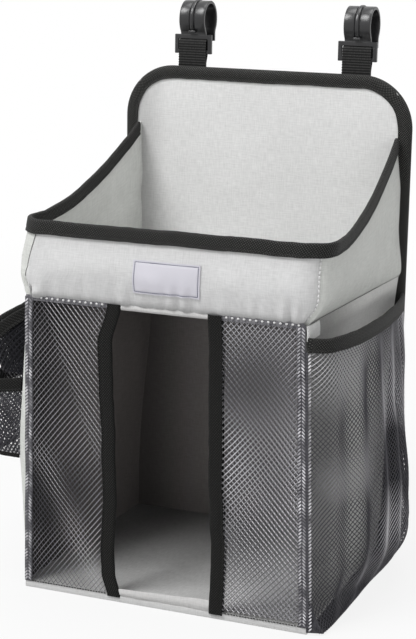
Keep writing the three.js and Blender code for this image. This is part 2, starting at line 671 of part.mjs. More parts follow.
function buildRightPocket() {
  const stations = [0, 0.01, 0.04, 0.09, 0.16, 0.26, 0.38, 0.52, 0.66, 0.78, 0.87, 0.94, 0.99];
  const netTop = (t) => rightMouth(t) - TAPE - GAP;
  const shell = toSolid(
    wall(rightPocketPlan, stations, () => RIGHT_FOOT_Z, netTop, NET, RIGHT_POCKET_LEVELS),
  );
  const rim = stations.map((t) => {
    const { x, y } = onWall(rightPocketPlan, t, RIGHT_FOOT_Z, -NET / 2);
    return new THREE.Vector2(x, y);
  });
  const wallSide = [...stations].reverse().map((t) => {
    const y = rim[stations.indexOf(t)].y;
    return new THREE.Vector2(flankX(1, clamp(y, SIDE_FRONT_Y, BODY_REAR_Y), RIGHT_FOOT_Z) + GAP, y);
  });
  const floor = toSolid(levelPlate([...rim, ...wallSide], RIGHT_FOOT_Z, NET));
  add('right_pocket_mesh', toGeometry(shell.add(floor)), 'net');
  add('right_pocket_binding', topTape(rightPocketPlan, stations, rightMouth, NET), 'binding');
}

// Left pockets. The distance s runs from the rear gusset round the outside to the front gusset:
// gusset 0 to 1, corner 1 to 2, outer face 2 to 3, corner 3 to 4, gusset 4 to 5.

function leftPocketPlan(pocket) {
  return (s, z) => {
    const up = clamp((pocket.foot + z - SHELF_Z) / (pocket.foot - pocket.mouth), 0, 1);
    const outerX = -WAIST_HALF - lerp(pocket.footDepth, pocket.mouthDepth, up);
    const cornerX = outerX + LEFT_CORNER_R;
    const arc = (centreY, angle) => [
      cornerX + LEFT_CORNER_R * Math.cos(angle), centreY + LEFT_CORNER_R * Math.sin(angle),
    ];
    const reach = NET + GAP + TAPE;
    const sewnX = (y) => -GAP - Math.max(flankX(-1, y - reach, z), flankX(-1, y + reach, z));
    const half = Math.PI / 2;
    if (s <= 1) return [lerp(sewnX(LEFT_REAR_Y), cornerX, s), LEFT_REAR_Y];
    if (s <= 2) return arc(LEFT_REAR_Y - LEFT_CORNER_R, lerp(half, 2 * half, s - 1));
    if (s <= 3) {
      return [outerX, lerp(LEFT_REAR_Y - LEFT_CORNER_R, LEFT_FRONT_Y + LEFT_CORNER_R, s - 2)];
    }
    if (s <= 4) return arc(LEFT_FRONT_Y + LEFT_CORNER_R, lerp(2 * half, 3 * half, s - 3));
    return [lerp(cornerX, sewnX(LEFT_FRONT_Y), s - 4), LEFT_FRONT_Y];
  };
}

function pocketMouth(pocket) {
  return (s) => {
    const outwards = clamp(Math.min(s, 5 - s), 0, 1);
    const along = clamp(s - 2, 0, 1);
    return SHELF_Z - pocket.mouth - pocket.droop * outwards + pocket.lift * Math.sin(Math.PI * along);
  };
}

function buildLeftPockets() {
  const stations = [
    ...steps(0, 1, 2), ...steps(1, 2, 3).slice(1), ...steps(2, 3, 6).slice(1),
    ...steps(3, 4, 3).slice(1), ...steps(4, 5, 2).slice(1),
  ];
  for (const [name, pocket] of [['upper', UPPER_POCKET], ['lower', LOWER_POCKET]]) {
    const plan = leftPocketPlan(pocket);
    const mouth = pocketMouth(pocket);
    const foot = SHELF_Z - pocket.foot;
    const netTop = (s) => mouth(s) - TAPE - GAP;
    const shell = toSolid(wall(plan, stations, () => foot, netTop, NET, LEFT_POCKET_LEVELS));
    const rim = stations.map((s) => {
      const { x, y } = onWall(plan, s, foot, -NET / 2);
      return new THREE.Vector2(x, y);
    });
    const wallSide = flankYs(LEFT_FRONT_Y + 2 * NET, LEFT_REAR_Y - 2 * NET).map((y) => (
      new THREE.Vector2(-flankX(-1, y, foot + NET / 2) - CLOTH, y)
    ));
    const floor = toSolid(levelPlate([...rim, ...wallSide], foot, NET));
    add(`left_${name}_pocket_mesh`, toGeometry(shell.add(floor)), 'net');
    add(`left_${name}_pocket_binding`, topTape(plan, stations, mouth, NET), 'binding');
  }
  const plan = leftPocketPlan(LOWER_POCKET);
  const hemFoot = SHELF_Z - LOWER_POCKET.foot - GAP;
  const hem = wall(plan, stations, () => hemFoot, () => hemFoot + HEM_HEIGHT, TAPE, 1, GAP + TAPE);
  add('left_lower_pocket_hem', hem, 'binding');
}

// Straps

// Profile of the free loop in Y and Z: round at the fold, two layers going up, and open between
// them from just above the fold to the turn at the top.
function strapShape() {
  const frontY = FOLD_Y - FOLD_R;
  const topZ = LOOP_TOP_Z - LOOP_OUTER_R;
  const shape = new THREE.Shape();
  shape.moveTo(frontY, FOLD_Z);
  shape.lineTo(frontY, topZ);
  shape.absarc(BAR_Y, topZ, LOOP_OUTER_R, Math.PI, 0, true);
  shape.lineTo(BAR_Y + LOOP_OUTER_R, BAR_Z);
  shape.lineTo(FOLD_Y + FOLD_R, FOLD_Z);
  shape.absarc(FOLD_Y, FOLD_Z, FOLD_R, 0, -Math.PI, true);
  const inside = new THREE.Path();
  const openFrom = FOLD_Z + FOLD_R;
  inside.moveTo(BAR_Y - LOOP_INNER_R, openFrom);
  inside.lineTo(BAR_Y - LOOP_INNER_R + GAP, openFrom);
  inside.lineTo(BAR_Y + LOOP_INNER_R, BAR_Z - GAP);
  inside.lineTo(BAR_Y + LOOP_INNER_R, topZ);
  inside.absarc(BAR_Y, topZ, LOOP_INNER_R, 0, Math.PI, false);
  shape.holes.push(inside);
  return shape;
}

function tailShape() {
  const headZ = FOLD_Z - FOLD_R - GAP;
  const footZ = headZ - TAIL_LENGTH;
  const rearY = TAIL_FRONT_Y + STRAP_THICK;
  return new THREE.Shape([
    new THREE.Vector2(TAIL_FRONT_Y, footZ), new THREE.Vector2(rearY, footZ),
    new THREE.Vector2(rearY, headZ), new THREE.Vector2(TAIL_FRONT_Y, headZ),
  ]);
}

// Hooks

// The band of a hook seen from its side, as thick as wall: neck, ring open at the foot, tail.
function bandShape() {
  const halfWall = HOOK_WALL / 2;
  const under = (offset, radius) => Math.acos(offset / radius);
  const frameTop = FRAME_HEAD_Z - RING_Z;
  const tailFoot = -HOOK_TAIL_DROP;
  const neckOuter = under(NECK_IN + halfWall, RING_R);
  const neckInner = under(NECK_IN - halfWall, HOOK_BORE_R);
  const tailOuter = under(HOOK_TAIL_OUT + halfWall, RING_R);
  const tailInner = under(HOOK_TAIL_OUT - halfWall, HOOK_BORE_R);
  const shape = new THREE.Shape();
  shape.moveTo(-NECK_IN - halfWall, frameTop - halfWall);
  shape.absarc(0, 0, RING_R, Math.PI + neckOuter, -tailOuter, true);
  shape.lineTo(HOOK_TAIL_OUT + halfWall, tailFoot);
  shape.lineTo(HOOK_TAIL_OUT - halfWall, tailFoot);
  shape.absarc(0, 0, HOOK_BORE_R, -tailInner, Math.PI + neckInner, false);
  shape.lineTo(-NECK_IN + halfWall, frameTop - halfWall);
  return shape;
}

function ribShape() {
  const ends = THREE.MathUtils.degToRad(RIB_STOP);
  const shape = new THREE.Shape();
  const inner = RING_R - HOOK_WALL / 2;
  shape.absarc(0, 0, RING_R + RIB_HEIGHT, Math.PI + ends, -ends, true);
  shape.absarc(0, 0, inner, -ends, Math.PI + ends, false);
  return shape;
}

function frameShape() {
  const half = [
    [SLOT_HALF, SLOT_HEAD_Z], [SLOT_HALF, FRAME_FOOT_Z], [FRAME_HALF, FRAME_FOOT_Z],
    [FRAME_HALF, FRAME_HEAD_Z],
  ];
  const otherHalf = half.map(([x, z]) => [-x, z]).reverse();
  return new THREE.Shape([...half, ...otherHalf].map(([x, z]) => new THREE.Vector2(x, z)));
}

function hookGeometry(middleX) {
  const place = (geometry) => toSolid(geometry.translate(0, RING_Y, RING_Z));
  const band = place(acrossPlate(bandShape(), middleX, HOOK_WIDTH, RING_STEPS));
  const rib = place(acrossPlate(ribShape(), middleX, RIB_WIDTH, RING_STEPS));
  const frame = toSolid(standingPlate(frameShape(), BAR_Y - FRAME_THICK / 2, FRAME_THICK)
    .translate(middleX, 0, 0));
  const barSection = new THREE.Shape();
  barSection.absarc(BAR_Y, BAR_Z, BAR_R, 0, FULL_TURN, false);
  const bar = toSolid(acrossPlate(barSection, middleX, SLOT_HALF + FRAME_HALF, BAR_STEPS));
  return toGeometry(band.add(rib).add(frame).add(bar));
}

function buildHangers() {
  for (const [name, middleX] of [['left', -LEFT_STRAP_X], ['right', RIGHT_STRAP_X]]) {
    add(`${name}_strap_tail`, acrossPlate(tailShape(), middleX, STRAP_WIDTH, 1), 'webbing');
    add(`${name}_strap`, acrossPlate(strapShape(), middleX, STRAP_WIDTH, STRAP_STEPS), 'webbing');
    add(`${name}_hook`, hookGeometry(middleX), 'plastic');
  }
}

buildBackPanel();
buildBin();
buildShelf();
buildFront();
buildFlanks();
buildBase();
buildRightPocket();
buildLeftPockets();
buildHangers();

export default organiser;
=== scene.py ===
# %% [markdown]
# A hanging organiser for a changing table
#
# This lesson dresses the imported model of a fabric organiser: an open bin over a compartment with
# a netted front, a stiff back panel, net pockets on both sides, and two webbing loops that carry
# plastic rail hooks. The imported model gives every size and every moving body, so the lesson only
# makes surfaces: cloth with its puckers, folded tape, net with its strands, webbing and moulded
# plastic. Sizes are written in millimetres and turned into metres where a mesh gets its points.

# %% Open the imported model
import math
from bisect import bisect_right

import bpy
from mathutils import Matrix, Vector, noise


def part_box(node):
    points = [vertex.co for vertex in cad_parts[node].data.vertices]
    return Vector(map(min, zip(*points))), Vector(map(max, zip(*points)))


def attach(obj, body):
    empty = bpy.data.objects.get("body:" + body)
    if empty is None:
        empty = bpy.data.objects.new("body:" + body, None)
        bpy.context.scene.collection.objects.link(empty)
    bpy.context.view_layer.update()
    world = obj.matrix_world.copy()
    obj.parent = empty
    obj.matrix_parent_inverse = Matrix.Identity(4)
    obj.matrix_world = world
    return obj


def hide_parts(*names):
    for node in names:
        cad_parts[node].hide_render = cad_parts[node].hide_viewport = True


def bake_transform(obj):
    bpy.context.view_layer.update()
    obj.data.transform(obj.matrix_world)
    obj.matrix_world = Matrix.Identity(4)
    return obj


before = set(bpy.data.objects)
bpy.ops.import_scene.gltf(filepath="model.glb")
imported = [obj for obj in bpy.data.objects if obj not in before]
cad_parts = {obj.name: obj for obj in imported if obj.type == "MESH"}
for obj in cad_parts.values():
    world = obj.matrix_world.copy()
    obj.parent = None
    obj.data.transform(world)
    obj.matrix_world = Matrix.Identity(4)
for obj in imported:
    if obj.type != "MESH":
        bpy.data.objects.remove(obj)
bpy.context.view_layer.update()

MM = 0.001


def new_piece(add, name, **settings):
    """A piece from one of Blender's primitives, made while nothing is selected."""
    bpy.ops.object.select_all(action="DESELECT")
    add(**settings)
    piece = bpy.context.active_object
    piece.name = name
    return piece


def new_box(name, centre, size):
    """A box with its middle and its size in millimetres."""
    box = new_piece(bpy.ops.mesh.primitive_cube_add, name, size=1, location=Vector(centre) * MM)
    box.scale = Vector(size) * MM
    bpy.ops.object.transform_apply(location=True, rotation=True, scale=True)
    return box


# %% [markdown]
# Camera
#
# The photograph was taken from the right of the front and a little above. The camera's place was
# found by fitting known corners of the object, so it is written as an aim point, a distance and
# three turns. The lens is long, which is why the sides hardly converge.

# %% Set the camera
AIM = Vector((-10.41, 0.0, 241.09)) * MM
DISTANCE = 1580.8 * MM
YAW, PITCH, ROLL = (math.radians(angle) for angle in (21.406, 13.470, 0.939))
FOCAL_PIXELS = 1700.5
PHOTO_HEIGHT = 639
SENSOR = 36.0


def camera_axes():
    """Right, up and backwards of the camera, as unit vectors."""
    back = Vector((
        math.sin(YAW) * math.cos(PITCH), -math.cos(YAW) * math.cos(PITCH), math.sin(PITCH),
    ))
    level = Vector((0, 0, 1)).cross(back).normalized()
    upright = back.cross(level)
    right = math.cos(ROLL) * level + math.sin(ROLL) * upright
    up = -math.sin(ROLL) * level + math.cos(ROLL) * upright
    return right, up, back


right, up, back = camera_axes()
place = Matrix((right, up, back)).transposed().to_4x4()
place.translation = AIM + back * DISTANCE
camera_data = bpy.data.cameras.new("camera")
camera_data.sensor_width = SENSOR
camera_data.lens = FOCAL_PIXELS / PHOTO_HEIGHT * SENSOR
camera_data.clip_end = 20
camera = bpy.data.objects.new("camera", camera_data)
camera.matrix_world = place
bpy.context.scene.collection.objects.link(camera)
bpy.context.scene.camera = camera
bpy.context.scene.view_settings.view_transform = "Standard"
print("lens", round(camera_data.lens, 1), "mm, camera at", [round(v, 3) for v in place.translation])

# %% [markdown]
# Light and floor
#
# A packshot like this one is lit by one large soft box high in front on the left, with a weaker
# one on the right and pale surroundings. The lamps stand far off, so that the front and the rear
# get the same light, and the key light stands steeply, because the shelf keeps the compartment's
# rear dark while its floor is bright near the front.

# %% Shader nodes
WHITE = (1, 1, 1, 1)
PAPER_GREY = (0.6, 0.6, 0.6, 1)


def add_node(tree, kind, inputs, **settings):
    """A shader node. inputs gives what a named or numbered socket gets: a value, or the output
    that feeds it."""
    made = tree.nodes.new("ShaderNode" + kind)
    for name, value in settings.items():
        setattr(made, name, value)
    for name, value in inputs.items():
        if isinstance(value, bpy.types.NodeSocket):
            tree.links.new(value, made.inputs[name])
        else:
            made.inputs[name].default_value = value
    return made


def empty_tree(owner):
    owner.use_nodes = True
    owner.node_tree.nodes.clear()
    return owner.node_tree


def rays_that_see(tree):
    """1 for the rays that show the backdrop itself: camera, glossy and transmission rays."""
    path = add_node(tree, "LightPath", {})
    total = path.outputs["Is Camera Ray"]
    for kind in ("Is Glossy Ray", "Is Transmission Ray"):
        either = add_node(tree, "Math", {0: total, 1: path.outputs[kind]}, operation="MAXIMUM")
        total = either.outputs[0]
    return total


# %% Light the stage
WORLD_LIGHT = 0.40
LIGHTS = (
    # name, place, watts, width
    ("key_light", (-1.7, -2.3, 3.9), 175.0, 2.0),
    ("fill_light", (3.2, -2.55, 1.5), 30.0, 2.7),
    ("top_light", (0.15, 0.4, 3.8), 52.0, 1.9),
)
LIGHT_AIM = Vector((0.0, 0.0, 0.26))

for name, position, watts, width in LIGHTS:
    data = bpy.data.lights.new(name, "AREA")
    data.shape = "SQUARE"
    data.size = width
    data.energy = watts
    lamp = bpy.data.objects.new(name, data)
    lamp.location = position
    lamp.rotation_euler = (LIGHT_AIM - Vector(position)).to_track_quat("-Z", "Y").to_euler()
    bpy.context.scene.collection.objects.link(lamp)

world = bpy.data.worlds.new("studio")
bpy.context.scene.world = world
sky = empty_tree(world)
lighting, shown = (
    add_node(sky, "Background", {"Color": WHITE, "Strength": strength}) for strength in (WORLD_LIGHT, 1.0)
)
choice = add_node(sky, "MixShader", {0: rays_that_see(sky), 1: lighting.outputs[0], 2: shown.outputs[0]})
add_node(sky, "OutputWorld", {"Surface": choice.outputs[0]})

# %% Lay the floor
FLOOR_GLOW = 0.86
FLOOR_FADE = (0.5, 1.7)


def floor_material():
    """Nearly white paper that still shows the shadow under the object, and passes into the white
    surroundings further off, so that no edge of the floor is seen."""
    material = bpy.data.materials.new("paper_floor")
    tree = empty_tree(material)
    where = add_node(tree, "TexCoord", {})
    reach = add_node(tree, "VectorMath", {0: where.outputs["Object"]}, operation="LENGTH")
    near, far = FLOOR_FADE
    fade = add_node(tree, "MapRange", {
        "Value": reach.outputs["Value"], "From Min": near, "From Max": far, "To Min": FLOOR_GLOW,
    })
    share = add_node(tree, "Math", {0: rays_that_see(tree), 1: fade.outputs[0]}, operation="MULTIPLY")
    paper = add_node(tree, "BsdfDiffuse", {"Color": PAPER_GREY})
    glow = add_node(tree, "Emission", {})
    mix = add_node(tree, "MixShader", {0: share.outputs[0], 1: paper.outputs[0], 2: glow.outputs[0]})
    add_node(tree, "OutputMaterial", {"Surface": mix.outputs[0]})
    return material


paper_floor = new_piece(bpy.ops.mesh.primitive_plane_add, "paper_floor", size=30)
paper_floor.data.materials.append(floor_material())
print("lights:", [light[0] for light in LIGHTS])

# %% [markdown]
# Sizes
#
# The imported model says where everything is, so these values are read from its boxes where a box
# holds them. The rest are the shape of the soft parts: how far each wall bellies out, and how the
# rims climb.

# %% Read the sizes
def box_mm(node):
    low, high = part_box(node)
    return Vector(low) / MM, Vector(high) / MM


CLOTH = 1.6
NET = 1.2
GAP = 0.3
TAPE_WIDTH = 12.5
panel_low, panel_high = box_mm("back_panel_binding")
PANEL_HALF = panel_high.x
PANEL_TOP = panel_high.z
PANEL_FOOT = panel_low.z
BINDING_FRONT_Y = panel_low.y
BINDING_REAR_Y = panel_high.y
PANEL_FRONT_Y = box_mm("back_panel_face")[0].y
PANEL_REAR_Y = box_mm("back_panel_rear")[1].y
PANEL_TOP_R = 50.0
PANEL_FOOT_R = 14.0

base_low, base_high = box_mm("base_cover")
BODY_FRONT_Y = base_low.y
BODY_REAR_Y = base_high.y
BASE_HEIGHT = base_high.z
SHELF_Z = box_mm("shelf_board")[1].z + GAP
WALL_FOOT_Z = BASE_HEIGHT + GAP
WALL_HEAD_Z = SHELF_Z - GAP
RIM_FRONT_Z = box_mm("rim_binding")[0].z + TAPE_WIDTH
RIM_RISE = 63.5
RIM_RISE_POWER = 1.6
RIM_LEVEL_LENGTH = 45.0
REAR_HALF = PANEL_HALF - 15
FOOT_HALF = base_high.x
WAIST_HALF = REAR_HALF
RIM_HALF = REAR_HALF + 12
CORNER_R = 25.0
BAND_PUFF = 3.0
BAND_SWELL_HEIGHT = 28.0

SIDE_FRONT_Y = BODY_FRONT_Y + NET + GAP
SIDES = (("left", -1), ("right", 1))
print("panel", round(2 * PANEL_HALF), "mm wide, shelf at", round(SHELF_Z), "mm")

# %% Small sums
def lerp(a, b, t):
    return a + (b - a) * t


def clamp(value, low=0.0, high=1.0):
    return max(low, min(high, value))


def bell(value, centre, spread):
    """1 at the centre, falling to nothing a few spreads away."""
    return math.exp(-(((value - centre) / spread) ** 2))


def ruffle(point, size, amount, seed=0.0):
    """Smooth random ups and downs of the given size, the same in every run."""
    x, y, z = point
    return amount * noise.noise(Vector((x / size + seed, y / size - seed, z / size + 2 * seed)))


def arch(t):
    """0 at both ends and 1 in the middle."""
    return math.sin(math.pi * clamp(t))


def easing(t):
    """From 0 to 1, fast at first and level at the end."""
    return math.sin(math.pi / 2 * clamp(t))


def smoothly(t):
    """From 0 to 1, level at both ends."""
    return t * t * (3 - 2 * t)


# %% [markdown]
# Where the soft walls run
#
# Each wall is described by a plan: a function that gives the wall's outer face at a station s along
# it and a height z. The bin's plan counts s from the middle of the front: the corner runs from 1 to
# 2 and the side from 2 to 3, with a minus sign on the left.
#
# The real bag isn't square on its panel. Its front hangs a few millimetres to the left, most at the
# shelf and not at all at the rim, and its right side stands out further at the panel. One function
# leans every soft piece in the same way, so that neighbours stay together.

# %% Lean of the soft front
BODY_DEPTH = BODY_REAR_Y - BODY_FRONT_Y
FRONT_LEAN = 6.8
FOOT_SHARE = 0.52
REAR_LEAN = 9.5
LOST_AT_RIM = 0.7
LEAN_START = 60


def bin_rise(z):
    """0 at the shelf seam, 1 at the front of the rim."""
    return clamp((z - SHELF_Z) / (RIM_FRONT_Z - SHELF_Z))


def wall_arch(z):
    """0 at the foot and the head of the lower walls, 1 half way up."""
    return arch((z - WALL_FOOT_Z) / (WALL_HEAD_Z - WALL_FOOT_Z))


def depth_at(y):
    """0 at the body's front, 1 at the panel."""
    return clamp((y - BODY_FRONT_Y) / BODY_DEPTH)


def front_lean(z):
    if z < SHELF_Z:
        return FRONT_LEAN * lerp(FOOT_SHARE, 1, clamp(z / SHELF_Z))
    return FRONT_LEAN * (1 - bin_rise(z))


def rear_lean(z):
    """How much further the right side stands out at the panel."""
    if z < SHELF_Z:
        return REAR_LEAN * clamp(z / SHELF_Z)
    return REAR_LEAN * (1 - LOST_AT_RIM * clamp((z - SHELF_Z) / (RIM_FRONT_Z + RIM_RISE - SHELF_Z)))


def leant(point):
    x, y, z = point
    outer = clamp((abs(x) - LEAN_START) / LEAN_START)
    return x - front_lean(z) * (1 - depth_at(y)) * outer, y, z


# %% Plans of the walls
def on_wall(plan, s, z, out):
    """A point the given distance outside a wall, square to it."""
    step = 1e-3
    x, y = plan(s, z)
    xa, ya = plan(s - step, z)
    xb, yb = plan(s + step, z)
    length = math.hypot(xb - xa, yb - ya)
    return x + out * (yb - ya) / length, y - out * (xb - xa) / length, z


SHARP_CORNER_R = 7.0
CORNER_RISE = 26
# where the left side stands out further than the right one: minus how far, how far above the
# shelf, and over what height
LEFT_DRAWS = ((-3.0, 26, 24), (-3.2, 22, 20))


def band_swell(z):
    return easing((z - SHELF_Z) / BAND_SWELL_HEIGHT)


def corner_r(z):
    """The bin's corners are nearly sharp at the shelf seam and round from there up."""
    return lerp(SHARP_CORNER_R, CORNER_R, clamp((z - SHELF_Z) / CORNER_RISE))


def left_draw(z):
    """How much narrower the left side is than the right one."""
    return sum(amount * bell(z, SHELF_Z + height, spread) for amount, height, spread in LEFT_DRAWS)


def bin_half(z):
    return lerp(WAIST_HALF, RIM_HALF, band_swell(z))


def bin_plan(s, z):
    side = math.copysign(1, s)
    along = abs(s)
    draw = left_draw(z) if s < 0 else 0
    half = bin_half(z)
    front = BODY_FRONT_Y - BAND_PUFF * arch(bin_rise(z)) + NET * (1 - band_swell(z))
    radius = corner_r(z)
    if along <= 1:
        return s * (half - radius), front
    if along <= 2:
        angle = (along - 1) * math.pi / 2
        x = half - radius + (radius - draw) * math.sin(angle)
        return side * x, front + radius - radius * math.cos(angle)
    t = along - 2
    rear = REAR_HALF + (rear_lean(z) if s > 0 else 0)
    return side * lerp(half - draw, rear, t), lerp(front + radius, BODY_REAR_Y, t)


def rim_top(s):
    _, y = bin_plan(s, RIM_FRONT_Z)
    start = BODY_FRONT_Y + RIM_LEVEL_LENGTH
    t = clamp((y - start) / (BODY_REAR_Y - start))
    return RIM_FRONT_Z + RIM_RISE * t ** RIM_RISE_POWER


LEFT_FLANK = {"pinch": 12, "swell": 23, "forward": 0.55}
RIGHT_FLANK = {"pinch": 3, "swell": 4, "forward": 0.6}
PINCH_POWER = 2.6


def front_half(z):
    return lerp(FOOT_HALF, WAIST_HALF, z / SHELF_Z)


def flank_x(side, t, z):
    """Half width of a lower side wall's outer face, t from 0 at the front to 1 at the panel."""
    flank = LEFT_FLANK if side < 0 else RIGHT_FLANK
    stands_out = 0 if side < 0 else rear_lean(z)
    rear = REAR_HALF + stands_out - flank["pinch"] * math.sin(math.pi * clamp(z / SHELF_Z) ** PINCH_POWER)
    t = clamp(t)
    belly = flank["swell"] * math.sin(math.pi * t ** flank["forward"]) * arch(z / SHELF_Z)
    return lerp(front_half(z), rear, t) + belly


RIGHT_MOUTH_DROPS = (11.0, 16.5)
RIGHT_FOOT_Z = 1.5
RIGHT_FULL_Z = 55.0
RIGHT_FULLNESS = 36
RIGHT_FOOT_BELLY = (16, 8)
RIGHT_NARROWING = 11
RIGHT_SWELL = (7, 90, 75)


def right_mouth(t):
    return SHELF_Z - lerp(*RIGHT_MOUTH_DROPS, t)


def right_plan(t, z):
    mouth = right_mouth(clamp(t))
    up = clamp((z - RIGHT_FOOT_Z) / (mouth - RIGHT_FOOT_Z))
    rise = easing((z - RIGHT_FOOT_Z) / (RIGHT_FULL_Z - RIGHT_FOOT_Z))
    fall = clamp((z - RIGHT_FULL_Z) / (mouth - RIGHT_FULL_Z))
    low = clamp((z - RIGHT_FOOT_Z) / 24)
    swell, level, spread = RIGHT_SWELL
    belly = lerp(lerp(*RIGHT_FOOT_BELLY, clamp(1.4 * t)), RIGHT_FULLNESS, rise ** 1.15)
    belly += swell * t * bell(z, level, spread) - RIGHT_NARROWING * fall
    skew = lerp(1.0, 0.55, up) + 0.25 * low * (1 - up)
    bump = math.sin(math.pi * t ** skew) ** lerp(0.06, 0.6, low) if 0 < t < 1 else 0
    x = lerp(front_half(z) + NET + GAP, PANEL_HALF - 2, t) + belly * bump
    return x, lerp(BODY_FRONT_Y + NET, BINDING_FRONT_Y - GAP - NET, t)


LEFT_FRONT_Y = BODY_FRONT_Y + 10
LEFT_REAR_Y = PANEL_REAR_Y - 24
LEFT_CORNER_R = 12.0
UPPER_POCKET = {
    "foot": 77, "mouth": 10, "droop": 22, "foot_depth": 36, "mouth_depth": 52, "lift": 5,
    "net": ((-0.25, 0.06), 0.9, 1.8),
}
LOWER_POCKET = {
    "foot": 155, "mouth": 79, "droop": 5, "foot_depth": 42, "mouth_depth": 55, "lift": 0,
    "net": ((-1.4, 1.1), 0.55, 1.8),
}


def side_share(y):
    """0 at the front of the lower side walls, 1 at the panel."""
    return (y - SIDE_FRONT_Y) / (BODY_REAR_Y - SIDE_FRONT_Y)


def left_plan(pocket):
    """Plan of a left pocket, s from 0 at the rear gusset's seam to 5 at the front gusset's."""
    def plan(s, z):
        up = clamp((pocket["foot"] + z - SHELF_Z) / (pocket["foot"] - pocket["mouth"]))
        outer = -WAIST_HALF - lerp(pocket["foot_depth"], pocket["mouth_depth"], up)
        corner = outer + LEFT_CORNER_R
        rear_arc, front_arc = LEFT_REAR_Y - LEFT_CORNER_R, LEFT_FRONT_Y + LEFT_CORNER_R

        def gusset(y, t):
            return lerp(-GAP - flank_x(-1, side_share(y), z), corner, t), y

        def arc(centre, t):
            angle = math.pi / 2 * t
            return corner + LEFT_CORNER_R * math.cos(angle), centre + LEFT_CORNER_R * math.sin(angle)

        if s <= 1:
            return gusset(LEFT_REAR_Y, s)
        if s <= 2:
            return arc(rear_arc, s)
        if s <= 3:
            return outer, lerp(rear_arc, front_arc, s - 2)
        if s <= 4:
            return arc(front_arc, s - 1)
        return gusset(LEFT_FRONT_Y, 5 - s)
    return plan


def left_mouth(pocket):
    def mouth(s):
        outwards = clamp(min(s, 5 - s))
        return SHELF_Z - pocket["mouth"] - pocket["droop"] * outwards + pocket["lift"] * arch(s - 2)
    return mouth


def even_stations(plan, z, first, last, steps=400):
    """A function from 0..1 to stations that lie evenly along the wall, and the wall's length."""
    stations = [lerp(first, last, i / steps) for i in range(steps + 1)]
    points = [Vector(plan(s, z)) for s in stations]
    reached = [0.0]
    for a, b in zip(points, points[1:]):
        reached.append(reached[-1] + (b - a).length)

    def station(u):
        goal = clamp(u) * reached[-1]
        i = min(bisect_right(reached, goal), steps) - 1
        return lerp(stations[i], stations[i + 1], (goal - reached[i]) / (reached[i + 1] - reached[i]))
    return station, reached[-1]


# %% [markdown]
# Finishes
#
# Cloth is two things: a colour that is never quite even, because its threads were dyed separately,
# and a weave. The colour comes from noise on Object coordinates. The weave, the twill of the tape
# and the ribs of the webbing follow the piece, so they read its own UV map, which is in metres.

# %% Helpers for materials
def new_material(name, colour, roughness, shine=0.5, sheen=0.0):
    material = bpy.data.materials.new(name)
    material.use_nodes = True
    tree = material.node_tree
    shader = tree.nodes["Principled BSDF"]
    shader.inputs["Base Color"].default_value = (*colour, 1)
    shader.inputs["Roughness"].default_value = roughness
    shader.inputs["Specular IOR Level"].default_value = shine
    shader.inputs["Sheen Weight"].default_value = sheen
    return material, tree, shader


def add_noise(tree, scale, detail=2.0, stretch=(1, 1, 1), coordinates="Object"):
    where = add_node(tree, "TexCoord", {})
    mapping = add_node(tree, "Mapping", {"Vector": where.outputs[coordinates], "Scale": stretch})
    inputs = {"Vector": mapping.outputs[0], "Scale": scale, "Detail": detail}
    return add_node(tree, "TexNoise", inputs).outputs["Fac"]


def add_waves(tree, pitch, turn=0):
    """Parallel threads of the given pitch in millimetres, across the UV map's turned direction."""
    where = add_node(tree, "TexCoord", {})
    turned = {"Vector": where.outputs["UV"], "Rotation": (0, 0, math.radians(turn))}
    mapping = add_node(tree, "Mapping", turned)
    inputs = {"Vector": mapping.outputs[0], "Scale": math.pi / (10 * pitch * MM), "Distortion": 0.0}
    return add_node(tree, "TexWave", inputs, wave_profile="SIN").outputs["Fac"]


def add_math(tree, operation, first, second):
    return add_node(tree, "Math", {0: first, 1: second}, operation=operation).outputs[0]


def add_weave(tree, pitch):
    return add_math(tree, "MULTIPLY", add_waves(tree, pitch), add_waves(tree, pitch, 90))


def blend_colour(tree, amount, dark, light):
    ramp = add_node(tree, "ValToRGB", {"Fac": amount})
    for stop, position, colour in zip(ramp.color_ramp.elements, (0.3, 0.7), (dark, light)):
        stop.position = position
        stop.color = (*colour, 1)
    return ramp.outputs["Color"]


def mix_colours(tree, amount, first, second, kind="MIX"):
    inputs = {"Factor": amount, "A": first, "B": second}
    return add_node(tree, "Mix", inputs, data_type="RGBA", blend_type=kind).outputs["Result"]


def finish(tree, shader, colour, height=None, strength=1.0, distance=0.0):
    """Links a colour and, where a height is given, bumps of a depth in millimetres."""
    tree.links.new(colour, shader.inputs["Base Color"])
    if height is not None:
        inputs = {"Height": height, "Strength": strength, "Distance": distance * MM}
        tree.links.new(add_node(tree, "Bump", inputs).outputs[0], shader.inputs["Normal"])


# %% Cloth
WEAVE_PITCH = 0.75


def cloth_material(name, colour, contrast=0.1):
    """Heather cloth: paler and darker threads both ways, over slow shading."""
    material, tree, shader = new_material(name, colour, 0.9, 0.25, 0.12)
    across = add_noise(tree, 900, 1.0, (1, 0.12, 1), "UV")
    along = add_noise(tree, 900, 1.0, (0.12, 1, 1), "UV")
    threads = add_math(tree, "MULTIPLY", add_math(tree, "ADD", across, along), 0.5)
    dark = [value * (1 - contrast) for value in colour]
    light = [min(1, value * (1 + contrast)) for value in colour]
    heather = blend_colour(tree, threads, dark, light)
    shade = blend_colour(tree, add_noise(tree, 9), (0.94, 0.94, 0.94), (1, 1, 1))
    height = add_math(tree, "ADD", add_weave(tree, WEAVE_PITCH), add_math(tree, "MULTIPLY", threads, 0.8))
    finish(tree, shader, mix_colours(tree, 1.0, heather, shade, "MULTIPLY"), height, 0.35, 0.25)
    return material


